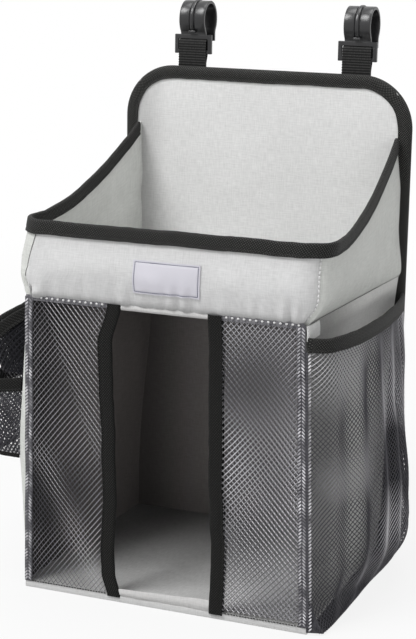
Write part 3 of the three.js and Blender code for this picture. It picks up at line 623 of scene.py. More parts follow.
def paint_shading_along(material, direction, first, last, start):
    """Paints light and shade into a cloth's colour along a direction, from a share of it to the whole of it.
    """
    tree = material.node_tree
    shader = tree.nodes["Principled BSDF"]
    where = add_node(tree, "TexCoord", {})
    along = add_node(tree, "VectorMath", {0: where.outputs["Object"], 1: direction}, operation="DOT_PRODUCT")
    fade = add_node(tree, "MapRange", {
        "Value": along.outputs["Value"], "From Min": first, "From Max": last, "To Min": start,
    }, interpolation_type="SMOOTHSTEP")
    woven = shader.inputs["Base Color"].links[0].from_socket
    finish(tree, shader, mix_colours(tree, 1.0, woven, fade.outputs[0], "MULTIPLY"))


def cloth_with_painted_shading(name, colour, contrast, axis, first, last, start):
    material = cloth_material(name, colour, contrast)
    paint_shading_along(material, [float(axis == letter) for letter in "XYZ"], first, last, start)
    return material


FRONT_CLOTH = cloth_material("light_cloth", (0.74, 0.74, 0.735))
TRAY_CLOTH = cloth_material("tray_cloth", (0.6, 0.6, 0.597))
# painted shade: a darker, slightly green copy of the light cloth, for the faces that get less light
SIDE_CLOTH = cloth_material("side_cloth", (0.62, 0.63, 0.605))
# painted shade: a darker copy of the light cloth, for the strips under the shelf and on the opening's floor
HEM_CLOTH = cloth_material("hem_cloth", (0.55, 0.545, 0.54))
LINING = cloth_material("bin_lining", (0.46, 0.46, 0.455), 0.14)
# painted shade: the compartment's pale lining made dark for the shade inside it
SHADED_LINING = cloth_material("compartment_lining", (0.21, 0.193, 0.186), 0.12)
# dense gathered net made near black: partly the net's own density, partly painted shade
DENSE_NET_AND_SHADE_CLOTH = cloth_material("dense_net_and_painted_shade", (0.05, 0.05, 0.056), 0.4)

SEAM_LEVEL = SHELF_Z * MM
# painted shade: a darker copy of the light cloth, darker still over the lowest 9 mm where the band curves
# under
BAND_CLOTH = cloth_with_painted_shading("band_cloth", (0.6, 0.6, 0.6), 0.1, "Z", SEAM_LEVEL, SEAM_LEVEL + 0.009, 0.68)
# painted shadow: the panel's cloth darkens towards its left edge, where the bin's left wall shades it
PANEL_CLOTH = cloth_with_painted_shading("panel_cloth", (0.73, 0.73, 0.725), 0.1, "X", -0.135, -0.095, 0.68)
# painted shade: the panel behind the compartment is made dark, and darker still towards the left
SHADED_PANEL_LINING = cloth_with_painted_shading("panel_lining_painted_shade", (0.36, 0.335, 0.325), 0.12, "X", -0.125, -0.045, 0.3)
# painted shade: the left wall's inside, dark and darkest towards the front
LEFT_LINING = cloth_with_painted_shading("left_wall_lining", (0.21, 0.193, 0.186), 0.12, "Y", -0.075, 0.05, 0.08)
# painted shade: the right side's outside darkens towards the front
LOW_SIDE_CLOTH = cloth_with_painted_shading("low_side_cloth", (0.67, 0.67, 0.655), 0.1, "Y", -0.09, 0.02, 0.42)
# painted light and shade: the compartment's floor is brighter at the front and darker towards the rear left
FLOOR_LINING = cloth_with_painted_shading("floor_lining", (0.46, 0.46, 0.455), 0.14, "Y", -0.09, -0.02, 1.18)
paint_shading_along(FLOOR_LINING, (0.93, -0.37, 0), -0.13, -0.055, 0.35)
print("cloth:", FRONT_CLOTH.name, SIDE_CLOTH.name, LINING.name, SHADED_LINING.name)

# %% Tape, webbing and thread
TWILL_PITCH = 1.75
RIB_PITCH = 2.5


def tape_material(name, lit_dot_grey, shine=0.22):
    """Black twill: rows of small pale dots where slanting ribs cross the weft. How pale the dots are is
    partly painted light: paler on a tape that gets more light, darker on one in shade.
    """
    material, tree, shader = new_material(name, (0.014, 0.014, 0.013), 0.8, shine, 0.04)
    dots = add_math(tree, "MULTIPLY", add_waves(tree, TWILL_PITCH, 52), add_waves(tree, TWILL_PITCH, -38))
    fine = add_math(tree, "MULTIPLY", add_noise(tree, 1500, 1.0, (1, 1, 1), "UV"), 1.7)
    ribs = add_math(tree, "MULTIPLY", dots, fine)
    colour = blend_colour(tree, ribs, (0.004, 0.004, 0.0038), (lit_dot_grey, lit_dot_grey, 0.94 * lit_dot_grey))
    finish(tree, shader, colour, ribs, 0.7, 0.35)
    return material


def webbing_material():
    """Black webbing: short threads across, packed between its ribs."""
    material, tree, shader = new_material("black_webbing", (0.01, 0.01, 0.01), 0.75, 0.25, 0.04)
    threads = add_math(tree, "MULTIPLY", add_noise(tree, 700, 1.0, (0.6, 1, 1), "UV"), 1.6)
    dots = add_math(tree, "MULTIPLY", add_waves(tree, RIB_PITCH), threads)
    colour = blend_colour(tree, dots, (0.001, 0.001, 0.001), (0.032, 0.032, 0.031))
    finish(tree, shader, colour, dots, 0.6, 0.4)
    return material


def thread_material(name, colour):
    material, tree, shader = new_material(name, colour, 0.7, 0.3, 0.05)
    twist = add_noise(tree, 2500, 1.0)
    finish(tree, shader, blend_colour(tree, twist, [0.7 * value for value in colour], colour))
    return material


TAPE = tape_material("twill_tape", 0.085)
# painted shade: the same black tape with darker dots, for tapes that face away from the lamps
SHADED_TAPE = tape_material("twill_tape_painted_shade", 0.04, 0.12)
# painted light: the same black tape with paler dots, for the panel's binding
PANEL_TAPE = tape_material("twill_tape_painted_light", 0.125)
WEBBING = webbing_material()
BLACK_THREAD = thread_material("black_thread", (0.022, 0.022, 0.022))
GREY_THREAD = thread_material("grey_thread", (0.22, 0.22, 0.22))
# painted shade: dark grey beads for the left corner seam, which lies in shade
SHADED_SEAM_THREAD = thread_material("seam_thread_painted_shade", (0.1, 0.1, 0.1))
PALE_THREAD = thread_material("pale_thread", (0.74, 0.74, 0.74))
LABEL_THREAD = thread_material("grey_blue_thread", (0.16, 0.17, 0.24))

# %% Net, plastic, label and board
NET_LIGHT = (0.70, 0.69, 0.72)
LABEL_PITCH = 0.45


def net_material(name, dark, shine):
    """Knitted strands. The attribute tone says how pale each stretch of strand is."""
    material, tree, shader = new_material(name, dark, 0.5, shine)
    tone = add_node(tree, "Attribute", {}, attribute_name="tone")
    shade = mix_colours(tree, tone.outputs["Fac"], (*dark, 1), (*NET_LIGHT, 1))
    finish(tree, shader, shade, add_noise(tree, 1600, 1.0), 0.3, 0.2)
    return material


def plastic_material():
    """Black moulded plastic, faintly grained, with a soft shine."""
    material, tree, shader = new_material("black_plastic", (0.015, 0.015, 0.016), 0.33)
    grain = add_noise(tree, 700, 3.0)
    shade = blend_colour(tree, add_noise(tree, 60), (0.010, 0.010, 0.011), (0.019, 0.019, 0.020))
    rough = add_node(tree, "MapRange", {"Value": grain, "To Min": 0.24, "To Max": 0.36})
    tree.links.new(rough.outputs[0], shader.inputs["Roughness"])
    finish(tree, shader, shade, grain, 0.08, 0.15)
    return material


def label_material():
    """Smooth woven patch, off white with a trace of blue."""
    material, tree, shader = new_material("label_weave", (0.57, 0.56, 0.61), 0.6, sheen=0.1)
    weave = add_weave(tree, LABEL_PITCH)
    colour = blend_colour(tree, weave, (0.535, 0.525, 0.575), (0.6, 0.59, 0.64))
    finish(tree, shader, colour, weave, 0.25, 0.15)
    return material


def board_material():
    """Plain brown board with short fibres."""
    material, tree, shader = new_material("brown_board", (0.42, 0.33, 0.22), 0.85)
    fibres = add_noise(tree, 240, 4.0, (1, 1, 4))
    colour = blend_colour(tree, fibres, (0.34, 0.26, 0.17), (0.48, 0.38, 0.26))
    finish(tree, shader, colour, fibres, 0.2, 0.2)
    return material


NET_STRAND = net_material("net_strand", (0.035, 0.034, 0.042), 0.35)
DARK_STRAND = net_material("dark_net_strand", (0.012, 0.012, 0.015), 0.15)
PLASTIC = plastic_material()
LABEL_WEAVE = label_material()
BOARD = board_material()

# %% [markdown]
# Ways to make a piece
#
# Cloth and tape start as a grid primitive, because a sewn panel is a flat cut of cloth before it is
# sewn. Every point of the grid is then moved to its place on the wall, and a Solidify modifier
# gives the cloth its thickness. The UV map stays flat and keeps the true size of the cut.

# %% Grids and modifiers
def only(piece):
    bpy.ops.object.select_all(action="DESELECT")
    piece.select_set(True)
    bpy.context.view_layer.objects.active = piece


def apply_modifier(piece, kind, **settings):
    only(piece)
    modifier = piece.modifiers.new(kind.lower(), kind)
    for name, value in settings.items():
        setattr(modifier, name, value)
    bpy.ops.object.modifier_apply(modifier=modifier.name)


def smooth(piece, degrees=50):
    only(piece)
    bpy.ops.object.shade_smooth_by_angle(angle=math.radians(degrees))


def shaped_grid(name, spot, columns, rows, size):
    """A grid whose points go where spot says. u runs along and v across, both from 0 to 1."""
    add = bpy.ops.mesh.primitive_grid_add
    piece = new_piece(add, name, x_subdivisions=columns, y_subdivisions=rows, size=1)
    for vertex in piece.data.vertices:
        vertex.co = Vector(leant(spot(vertex.co.x + 0.5, vertex.co.y + 0.5))) * MM
    for corner in piece.data.uv_layers.active.data:
        corner.uv = (corner.uv[0] * size[0] * MM, corner.uv[1] * size[1] * MM)
    return piece


def cloth_piece(name, spot, columns, rows, size, thickness):
    piece = shaped_grid(name, spot, columns, rows, size)
    apply_modifier(piece, "SOLIDIFY", thickness=thickness * MM, offset=-1)
    smooth(piece)
    return piece


def edit(piece, steps, domain="FACE", wanted=None):
    """Takes steps in edit mode on the wanted points, edges or faces, or else on the whole piece."""
    only(piece)
    bpy.ops.object.mode_set(mode="EDIT")
    bpy.ops.mesh.select_mode(type=domain)
    bpy.ops.mesh.select_all(action="DESELECT" if wanted else "SELECT")
    if wanted:
        bpy.ops.object.mode_set(mode="OBJECT")
        mesh = piece.data
        for item in {"VERT": mesh.vertices, "EDGE": mesh.edges, "FACE": mesh.polygons}[domain]:
            item.select = wanted(item)
        bpy.ops.object.mode_set(mode="EDIT")
    for operator, settings in steps:
        operator(**settings)
    bpy.ops.object.mode_set(mode="OBJECT")


def line_faces(piece, material, wanted):
    """Gives the wanted faces of a piece a second material."""
    piece.data.materials.append(material)
    for face in piece.data.polygons:
        face.material_index = int(wanted(face))


def settle(piece, material, slot, nodes=(), body="bag"):
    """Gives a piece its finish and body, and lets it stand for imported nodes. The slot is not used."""
    piece.data.materials.clear()
    piece.data.materials.append(material)
    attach(piece, body)
    if nodes:
        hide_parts(*nodes)
    print(piece.name, "-", len(piece.data.polygons), "faces on", body)


# %% [markdown]
# Back panel
#
# The panel is a stiff board between two cloths. The front cloth is pale above the shelf, with a
# painted shadow along its left edge, and behind the compartment it is painted dark as shade,
# darkest on the left. Between its bindings it swells by a millimetre or so, because the cloth is
# never pulled quite flat.

# %% The panel's outline
def panel_edge(distance):
    """A point of the panel's outline and its outward direction in X and Z. The distance runs from
    the foot of the left side over the top to the foot of the right side."""
    quarter = math.pi / 2
    foot_x, foot_z = PANEL_HALF - PANEL_FOOT_R, PANEL_FOOT + PANEL_FOOT_R
    top_x, top_z = PANEL_HALF - PANEL_TOP_R, PANEL_TOP - PANEL_TOP_R
    corners = (
        (-foot_x, foot_z, PANEL_FOOT_R, 3 * quarter, top_z - foot_z),
        (-top_x, top_z, PANEL_TOP_R, 2 * quarter, 2 * top_x),
        (top_x, top_z, PANEL_TOP_R, quarter, top_z - foot_z),
        (foot_x, foot_z, PANEL_FOOT_R, 0, 0),
    )
    for x, z, radius, start, straight in corners:
        arc = quarter * radius
        angle = start - min(distance, arc) / radius
        past = distance - arc
        nx, nz = math.cos(angle), math.sin(angle)
        if past <= straight:
            past = max(past, 0)
            return x + radius * nx + past * nz, z + radius * nz - past * nx, nx, nz
        distance -= arc + straight
    return x, z - radius, 0.0, -1.0


def outline_length():
    arcs = math.pi * (PANEL_TOP_R + PANEL_FOOT_R)
    sides = 2 * (PANEL_TOP - PANEL_FOOT - PANEL_TOP_R - PANEL_FOOT_R)
    return arcs + sides + 2 * (PANEL_HALF - PANEL_TOP_R)


def inside_panel(x, z, inset):
    """Pulls a point of the surrounding rectangle back onto the rounded outline."""
    for side in (-1, 1):
        for radius, middle_z, upper in (
            (PANEL_TOP_R, PANEL_TOP - PANEL_TOP_R, True), (PANEL_FOOT_R, PANEL_FOOT + PANEL_FOOT_R, False),
        ):
            middle_x = side * (PANEL_HALF - radius)
            dx, dz = x - middle_x, z - middle_z
            beyond = dx * side > 0 and (dz > 0) == upper
            reach = math.hypot(dx, dz)
            if beyond and reach > radius - inset:
                return middle_x + dx * (radius - inset) / reach, middle_z + dz * (radius - inset) / reach
    return x, z


# %% Panel cloths
PANEL_INSET = 2.2
PANEL_CLOTH_THICKNESS = CLOTH * 0.8
PANEL_SIZE = (2 * (PANEL_HALF - PANEL_INSET), PANEL_TOP - PANEL_FOOT - 2 * PANEL_INSET)
FLAT_EDGE = 10


def panel_spot(facing, rest_y, swell):
    """Spots of one panel cloth. facing is -1 for the front cloth and 1 for the rear one."""
    def spot(u, v):
        x = lerp(-1, 1, u) * (PANEL_HALF - PANEL_INSET) * -facing
        z = lerp(PANEL_FOOT + PANEL_INSET, PANEL_TOP - PANEL_INSET, v)
        x, z = inside_panel(x, z, PANEL_INSET)
        edge = min(PANEL_HALF - abs(x), PANEL_TOP - z, z - PANEL_FOOT)
        loose = easing((edge - FLAT_EDGE) / 45)
        lift = loose * (swell + ruffle((x, 0, z), 70, 0.9, 3.1) + ruffle((x, 0, z), 24, 0.25))
        return x, rest_y + facing * max(lift, 0), z
    return spot


front_cloth = cloth_piece(
    "panel_front_cloth", panel_spot(-1, PANEL_FRONT_Y, 0.8), 88, 140, PANEL_SIZE, PANEL_CLOTH_THICKNESS,
)
# painted shadow along the panel cloth's left edge
settle(front_cloth, PANEL_CLOTH, "cloth", ["back_panel_face"])
# painted shade on the faces below the shelf
line_faces(front_cloth, SHADED_PANEL_LINING, lambda face: face.center.z < (SHELF_Z - 4) * MM)
rear_cloth = cloth_piece(
    "panel_rear_cloth", panel_spot(1, PANEL_REAR_Y, 0.6), 60, 90, PANEL_SIZE, PANEL_CLOTH_THICKNESS,
)
settle(rear_cloth, SIDE_CLOTH, "side_cloth", ["back_panel_rear"])

# %% [markdown]
# Folded tape
#
# Every raw edge is bound with black twill tape: a strip that is folded over the edge and sewn
# through near its hems. Its section is two legs joined by a round back, and the row of stitches
# presses the legs in a little. The same section is carried along each edge.

# %% The section of a folded tape
STITCH_INSET = 2.2
TAPE_THICKNESS = 0.9
TAPE_FULLNESS = 1.45
TAPE_ROWS = 22
TAPE_SECTION = 2 * TAPE_WIDTH + 3
# share, length and seed of the waves in a sewn edge
EDGE_WAVES = ((1.4, 34, 2.3), (1.0, 15, 0.3), (0.4, 5, 4.1))


def tape_fold(v, half):
    """Section of a folded tape, v from the outer hem over the edge to the inner hem. Gives the
    distance out from the middle of the cloth and down from the top of the fold."""
    leg = TAPE_WIDTH - half
    arc = math.pi * half
    along = v * (2 * leg + arc)
    if along < leg:
        out, down = half, TAPE_WIDTH - along
    elif along < leg + arc:
        angle = (along - leg) / half
        out, down = half * math.cos(angle), half - half * math.sin(angle)
    else:
        out, down = -half, half + along - leg - arc
    return out * (1 - 0.22 * bell(down, TAPE_WIDTH - STITCH_INSET, 0.9)), down


def waver(distance, amount=0.5):
    """Small wanderings of a sewn edge."""
    return amount * sum(
        share * noise.noise(Vector((distance / length, seed, 0))) for share, length, seed in EDGE_WAVES
    )


def wall_tape(name, plan, top, first, last, thickness, level):
    """Tape folded over the upper edge of a wall."""
    station, length = even_stations(plan, level, first, last)

    def spot(u, v):
        s = station(u)
        out, down = tape_fold(v, thickness / 2 + TAPE_FULLNESS)
        return on_wall(plan, s, top(s) - down + waver(u * length), out - thickness / 2)
    return cloth_piece(name, spot, round(length / 2.5), TAPE_ROWS, (length, TAPE_SECTION), TAPE_THICKNESS)


# %% Binding of the panel
BINDING_MIDDLE = (BINDING_FRONT_Y + BINDING_REAR_Y) / 2
BINDING_HALF = (BINDING_REAR_Y - BINDING_FRONT_Y) / 2
OUTLINE = outline_length()


def binding_spot(u, v):
    x, z, nx, nz = panel_edge(u * OUTLINE)
    out, down = tape_fold(v, BINDING_HALF)
    inset = down + waver(u * OUTLINE) * down / TAPE_WIDTH
    return x - nx * inset, BINDING_MIDDLE - out, z - nz * inset


binding = cloth_piece(
    "panel_binding", binding_spot, round(OUTLINE / 3), TAPE_ROWS, (OUTLINE, TAPE_SECTION + 6), TAPE_THICKNESS,
)
settle(binding, PANEL_TAPE, "binding", ["back_panel_binding"])

# %% [markdown]
# The bin
#
# The bin is a soft open box. Its front band is one piece of cloth that turns the corners and is
# sewn to the two side cloths there. Below the rim it puffs out, and at the bottom it is drawn in
# hard to the shelf seam, so small puckers run up from that seam and a deep one sits at each corner.

# %% Band and sides of the bin
CORNER_SEAM = 1.5
LEFT_SEAM = (1.46, 1.15)
BIN_END = 3.0
TAPE_END = 2.98
PUCKER_PITCH = 15.0


def seam_station(side, z):
    """The corner seam's station. The left one slants towards the front on its way up."""
    if side > 0:
        return CORNER_SEAM
    return lerp(*LEFT_SEAM, bin_rise(z))


def slanted(s, z):
    """Moves a station of the left corner so that its middle comes to lie on the slanting seam."""
    if not -2 < s < -1:
        return s
    along, seam = -s, seam_station(-1, z)
    if along < CORNER_SEAM:
        return -1 - (along - 1) * (seam - 1) / (CORNER_SEAM - 1)
    return -2 + (2 - along) * (2 - seam) / (2 - CORNER_SEAM)


CORNER_SPREAD = 0.16
CORNER_TUCK = 3.2
SEAM_GROOVE = 0.7
HEM_SWELL = 1.3
# how far the middle of the band, the left side and the right side puff out
BAND_FULLNESS, LEFT_FULLNESS, RIGHT_BIN_FULLNESS = 4.6, -1.6, 1.5
# the notch in the seam near the left corner: a fold and a pit, each with its depth, its distance
# from the notch, its width, its height above the shelf and its spread upwards
NOTCH_X = -127
NOTCH_FOLD = (4.2, 6.5, 4.0, 3, 5)
NOTCH_PIT = (-8.5, 0, 1.9, 2, 6)


def bin_crumple(point, z, s):
    """How far the bin's cloth stands out from its plain shape."""
    x, y, _ = point
    left = s < 0
    distance = x if abs(s) < 1.2 else y
    drift = 2.5 * noise.noise(Vector((distance / 40, 0, 0)))
    pucker = math.sin(2 * math.pi * distance / PUCKER_PITCH + drift) * bell(z, SHELF_Z + 6, 13)
    strength = 1.0 + 2.6 * noise.noise(Vector((distance / 26, 5, 0)))
    seam = seam_station(s, z)
    corner = bell(abs(s), seam, CORNER_SPREAD)
    tuck = -CORNER_TUCK * corner * bell(z, SHELF_Z + 6, 7) - SEAM_GROOVE * bell(abs(s), seam, 0.05)
    if left:
        for depth, aside, width, height, spread in (NOTCH_FOLD, NOTCH_PIT):
            tuck += depth * bell(x - NOTCH_X, aside, width) * bell(z, SHELF_Z + height, spread)
    calm = 1 - 0.85 * bell(-s, seam, 0.25) if left else 1.0
    drag = ruffle((x + 0.5 * z, y, z / 2.6), 19, 2.2, 4.0)
    billow = ruffle(point, 46, 2.0, 7.0) + ruffle(point, 17, 0.4, 2.0)
    hem = HEM_SWELL * bell(z, SHELF_Z, 5) * (1 if abs(s) < 2 else 0.3)
    room = smoothly(clamp((rim_top(s) - TAPE_WIDTH - 1 - z) / 34))
    sewn = clamp((z - SHELF_Z) / 30)
    full = lerp(BAND_FULLNESS, RIGHT_BIN_FULLNESS, clamp((s - 1.7) / 0.2))
    if left:
        full = lerp(BAND_FULLNESS, LEFT_FULLNESS, clamp((-s - 0.95) / 0.4))
    loose = room * (sewn * calm * (billow + drag) + full * (1 - math.exp(-max(z - SHELF_Z, 0) / 4)))
    return loose + pucker * strength * (1 - corner) * clamp(bin_rise(z) * 30) + tuck + hem


def on_bin(s, z, out):
    """A point a distance outside the bin's cloth, at a station and a height."""
    point = on_wall(bin_plan, s, z, 0)
    return on_wall(bin_plan, s, z, bin_crumple(point, z, s) - 0.6 + out)


for name, first, last, material, slot in (
    ("bin_front_band", -CORNER_SEAM, CORNER_SEAM, BAND_CLOTH, "cloth"),
    ("bin_left_side", -BIN_END, -CORNER_SEAM, SIDE_CLOTH, "side_cloth"),
    ("bin_right_side", CORNER_SEAM, BIN_END, SIDE_CLOTH, "side_cloth"),
):
    station, length = even_stations(bin_plan, RIM_FRONT_Z, first, last)

    def bin_spot(u, v):
        s = station(u)
        z = lerp(SHELF_Z - 0.9, rim_top(s) - 2.2, v)
        return on_bin(slanted(s, z), z, 0)
    size = (length, RIM_FRONT_Z - SHELF_Z)
    panel = cloth_piece(name + "_cloth", bin_spot, round(length / 2.2), 44, size, 1.3)
    settle(panel, material, slot, [name])

rim = wall_tape("rim_tape", bin_plan, rim_top, -TAPE_END, TAPE_END, CLOTH, RIM_FRONT_Z)
settle(rim, TAPE, "binding", ["rim_binding"])

# %% [markdown]
# Nets
#
# The nets are knitted: two families of strands cross in diamonds about 5.4 mm wide and 6 mm tall.
# A square grid turned by 45 degrees has just those two families as its edges. Each family is kept
# on its own, turned into curves with a round section, and joined with the other again. An
# attribute called tone makes some stretches paler, as the shine does on the real strands.

# %% Making a net
DIAMOND_WIDTH = 5.4
DIAMOND_HEIGHT = 6.0
STRAND_R = 0.4


def lattice(width, height, pitch_x, pitch_z):
    """A grid turned by 45 degrees: its points are where strands cross, on a flat sheet in
    millimetres from (0, 0) to (width, height)."""
    cells = 2 + math.ceil(width / pitch_x + height / pitch_z)
    add = bpy.ops.mesh.primitive_grid_add
    sheet = new_piece(add, "net_sheet", x_subdivisions=cells, y_subdivisions=cells, size=cells)
    sheet.rotation_euler.z = math.pi / 4
    bpy.ops.object.transform_apply(location=False, rotation=True, scale=False)
    sheet.scale = (pitch_x / math.sqrt(2), pitch_z / math.sqrt(2), 1)
    bpy.ops.object.transform_apply(location=False, rotation=False, scale=True)
    for vertex in sheet.data.vertices:
        vertex.co.x += width / 2
        vertex.co.y += height / 2
    return sheet


def delete(sheet, domain, unwanted):
    edit(sheet, [(bpy.ops.mesh.delete, {"type": domain})], domain, unwanted)


def strands(sheet, rising, spot, seed, tone_range, radius, dim=None):
    """One family of strands, as tubes along the lattice's rising or falling edges. dim gives how
    much of its tone a place keeps, and is told which family it is for."""
    only(sheet)
    bpy.ops.object.duplicate()
    family = bpy.context.active_object
    points = family.data.vertices

    def runs_the_other_way(edge):
        a, b = (points[index].co for index in edge.vertices)
        return ((b.x - a.x) * (b.y - a.y) > 0) != rising
    delete(family, "EDGE", runs_the_other_way)
    out = 0.22 if rising else -0.22
    for vertex in family.data.vertices:
        vertex.co = Vector(leant(spot(vertex.co.x, vertex.co.y, out))) * MM
    only(family)
    bpy.ops.object.convert(target="CURVE")
    family.data.bevel_depth = radius * MM
    family.data.bevel_resolution = 0
    family.data.use_fill_caps = True
    bpy.ops.object.convert(target="MESH")
    low, high = tone_range

    def tone_at(point):
        slow = noise.noise(point * 13 + Vector((seed, 0, seed)))
        kept = dim(point / MM, rising) if dim else 1
        return clamp(lerp(low, high, 0.5 + slow)) * kept
    paint_tone(family, tone_at)
    return family


def paint_tone(piece, tone_at):
    """The attribute tone of a piece of net, worked out at each point."""
    tone = piece.data.attributes.new("tone", "FLOAT", "POINT")
    for item, vertex in zip(tone.data, piece.data.vertices):
        item.value = clamp(tone_at(vertex.co))


def net_piece(
    name, width, height, spot, inside, falling=(0.0, 0.7), rising=None, radius=STRAND_R, behind=None,
    stitch=(DIAMOND_WIDTH, DIAMOND_HEIGHT), dim=None,
):
    """A net over a wall. spot takes a place on the flat sheet and a distance out. falling and
    rising are the ranges of tone of the two families. Where behind is given, the net is double,
    and its second layer lies that far behind, shifted by half a stitch."""
    rising = rising or falling
    layers = [(0.0, 0.0, 1.0)]
    if behind is not None:
        layers.append((-behind, stitch[0] / 2, 0.6))
    families = []
    for depth, shift, share in layers:
        sheet = lattice(width, height, stitch[0] * (1 - shift / 150), stitch[1])
        for vertex in sheet.data.vertices:
            vertex.co.x += shift
        delete(sheet, "VERT", lambda vertex: not inside(vertex.co.x, vertex.co.y))

        def layer_spot(a, b, out):
            return spot(a, b, out + depth)
        for goes_up, seed, tones in ((False, 1.7, falling), (True, 9.2, rising)):
            shades = [share * tone for tone in tones]
            families.append(strands(sheet, goes_up, layer_spot, seed + shift, shades, radius, dim))
        bpy.data.objects.remove(sheet)
    net = families[0]
    only(net)
    for family in families:
        family.select_set(True)
    bpy.ops.object.join()
    net.name = name
    net.data.name = name
    smooth(net, 60)
    return net


# %% [markdown]
# Front nets and the tapes beside the opening
#
# The two front nets hang from the shelf seam to the base, and each free edge is bound with tape.
# The left tape bows outwards below the shelf and both wander a little, because nothing but the
# net holds them.

# %% Front nets
# height above the ground and place across, from the foot to the shelf
LEFT_EDGE = (
    (2, -49.8), (27, -56.4), (50, -56.7), (96, -54.6), (146, -56.2), (206, -58.4), (240, -59.8), (276, -51),
)
RIGHT_EDGE = ((4, 48.5), (50, 50.0), (96, 48.6), (128, 46.4), (206, 45.6), (240, 45.0), (276, 43.2))
OPENING_SIDES = (("left", -1, LEFT_EDGE), ("right", 1, RIGHT_EDGE))
WALL_HEIGHT = WALL_HEAD_Z - WALL_FOOT_Z
CORNER_FOLD = 7.5


def edge_centre(edge, z):
    """Middle of an opening tape at a height: an easy curve through the places above."""
    for (low, x_low), (high, x_high) in zip(edge, edge[1:]):
        if z <= high or high == edge[-1][0]:
            return lerp(x_low, x_high, smoothly(clamp((z - low) / (high - low))))


def edge_waver(side, z):
    """Sideways wandering of an opening tape, none at its two ends."""
    return wall_arch(z) ** 0.5 * 0.7 * noise.noise(Vector((z / 16, side * 5.0, 0.4)))


def front_net_y(x, z):
    """The net's middle: it gives a little, in and out, between its seams."""
    give = ruffle((x, 0, z), 42, 2.2, 5.0) + ruffle((x, 0, z), 15, 0.5)
    return BODY_FRONT_Y + NET / 2 + wall_arch(z) * give


def left_net_shine(point, rising):
    """The left net is slack, so only some slanting stretches of it catch the light."""
    x, _, z = point
    upper = clamp((x + 125 - 0.37 * (273 - z)) / 8) * clamp((z - 120) / 30)
    lower = bell(x + 129 - 0.45 * (130 - z), 8, 11) * clamp((150 - z) / 30)
    if not rising:
        return 0.1 + 0.9 * max(upper, lower)
    corner = bell(x, -62, 18) * bell(z, 265, 32)
    return max(0.2 + 0.5 * (1 - upper) * clamp((z - 15) / 40), corner)


def right_net_shine(point, rising):
    return lerp(1, 0.55, clamp((point.z - 170) / 60))


FRONT_NET_WIDTH = 100.0
FRONT_NETS = {
    "left": ((0.6, 1.9), (0.0, 1.2), 0.29, None, (4.4, 5.8), left_net_shine),
    "right": ((0.2, 1.2), (0.1, 1.1), 0.4, 2.6, (5.35, 5.5), right_net_shine),
}


def front_net(name, side, edge):
    start = -FOOT_HALF if side < 0 else FOOT_HALF - FRONT_NET_WIDTH

    def inside(a, b):
        x, z = start + a, WALL_FOOT_Z + b
        outer = abs(x) < front_half(z) - 1
        inner = 0 <= b <= WALL_HEIGHT and (x - edge_centre(edge, z)) * side > -2
        return outer and inner

    def spot(a, b, out):
        x, z = start + a, WALL_FOOT_Z + b
        return x, front_net_y(x, z) - out, z
    full_name = f"front_{name}_net"
    return net_piece(full_name, FRONT_NET_WIDTH, WALL_HEIGHT, spot, inside, *FRONT_NETS[name])


for name, side, edge in OPENING_SIDES:
    settle(front_net(name, side, edge), NET_STRAND, "net", [f"front_{name}_mesh"])

# %% Tapes beside the opening
OPENING_TAPE_HALF = 2.1


def opening_tape(name, side, edge):
    def spot(u, v):
        z = lerp(WALL_FOOT_Z - 1.5, WALL_HEAD_Z + 0.8, u)
        out, down = tape_fold(v if side < 0 else 1 - v, OPENING_TAPE_HALF)
        turn = edge_centre(edge, z) + edge_waver(side, z) - side * TAPE_WIDTH / 2
        y = BODY_FRONT_Y + NET / 2 + ruffle((side, 0, z), 45, 0.8, 8.0)
        return turn + side * (down + 0.5 * waver(z + 100 * side)), y - out, z
    piece = shaped_grid(name, spot, 110, TAPE_ROWS, (WALL_HEIGHT, TAPE_SECTION))
    if side < 0:
        edit(piece, [(bpy.ops.mesh.flip_normals, {})])
    apply_modifier(piece, "SOLIDIFY", thickness=TAPE_THICKNESS * MM, offset=-1)
    smooth(piece)
    return piece


for name, side, edge in OPENING_SIDES:
    tape = opening_tape(f"opening_tape_{name}", side, edge)
    # painted shade: the opening tapes get the tape with darker dots
    settle(tape, SHADED_TAPE, "binding", [f"opening_binding_{name}"])

# %% [markdown]
# Stitches and loops
#
# A stitch is a tiny lens of thread, and there are hundreds, so one is modelled from a low sphere
# and copied along a line. The same helper sets the pale loops in which the nets end.

# %% Rows of small things
def small_bead(length, width, height):
    """One stitch or loop, lying along X, in millimetres."""
    add = bpy.ops.mesh.primitive_uv_sphere_add
    lying = (0, math.pi / 2, 0)
    bead = new_piece(add, "bead", segments=6, ring_count=4, radius=0.5, rotation=lying)
    bpy.ops.object.transform_apply(rotation=True)
    bead.scale = (length, width, height)
    bpy.ops.object.transform_apply(scale=True)
    return bead


def walk(points, pitch):
    """Places every pitch along a line, each with the direction of the line there."""
    left = pitch / 2
    for a, b in zip(points, points[1:]):
        step = b - a
        length = step.length
        while left <= length and length > 0:
            yield a + step * (left / length), step / length
            left += pitch
        left -= length


FORWARDS = (0, -1, 0)


def row_of_beads(name, line, pitch, size, outwards=FORWARDS, tilt=0.0):
    """Copies of one bead along a line, each tilted in the surface, whose outside is outwards."""
    bead = small_bead(*size)
    shape = [vertex.co.copy() for vertex in bead.data.vertices]
    faces = [tuple(face.vertices) for face in bead.data.polygons]
    bpy.data.objects.remove(bead)
    outwards, turn = Vector(outwards), math.radians(tilt)
    points, polygons = [], []
    for centre, along in walk([Vector(leant(point)) for point in line], pitch):
        across = outwards.cross(along).normalized()
        axis = along * math.cos(turn) + across * math.sin(turn)
        side = outwards.cross(axis).normalized()
        up = axis.cross(side)
        start = len(points)
        points += [(centre + axis * p.x + side * p.y + up * p.z) * MM for p in shape]
        polygons += [tuple(start + index for index in face) for face in faces]
    mesh = bpy.data.meshes.new(name)
    mesh.from_pydata(points, [], polygons)
    row = bpy.data.objects.new(name, mesh)
    bpy.context.scene.collection.objects.link(row)
    smooth(row, 80)
    return row


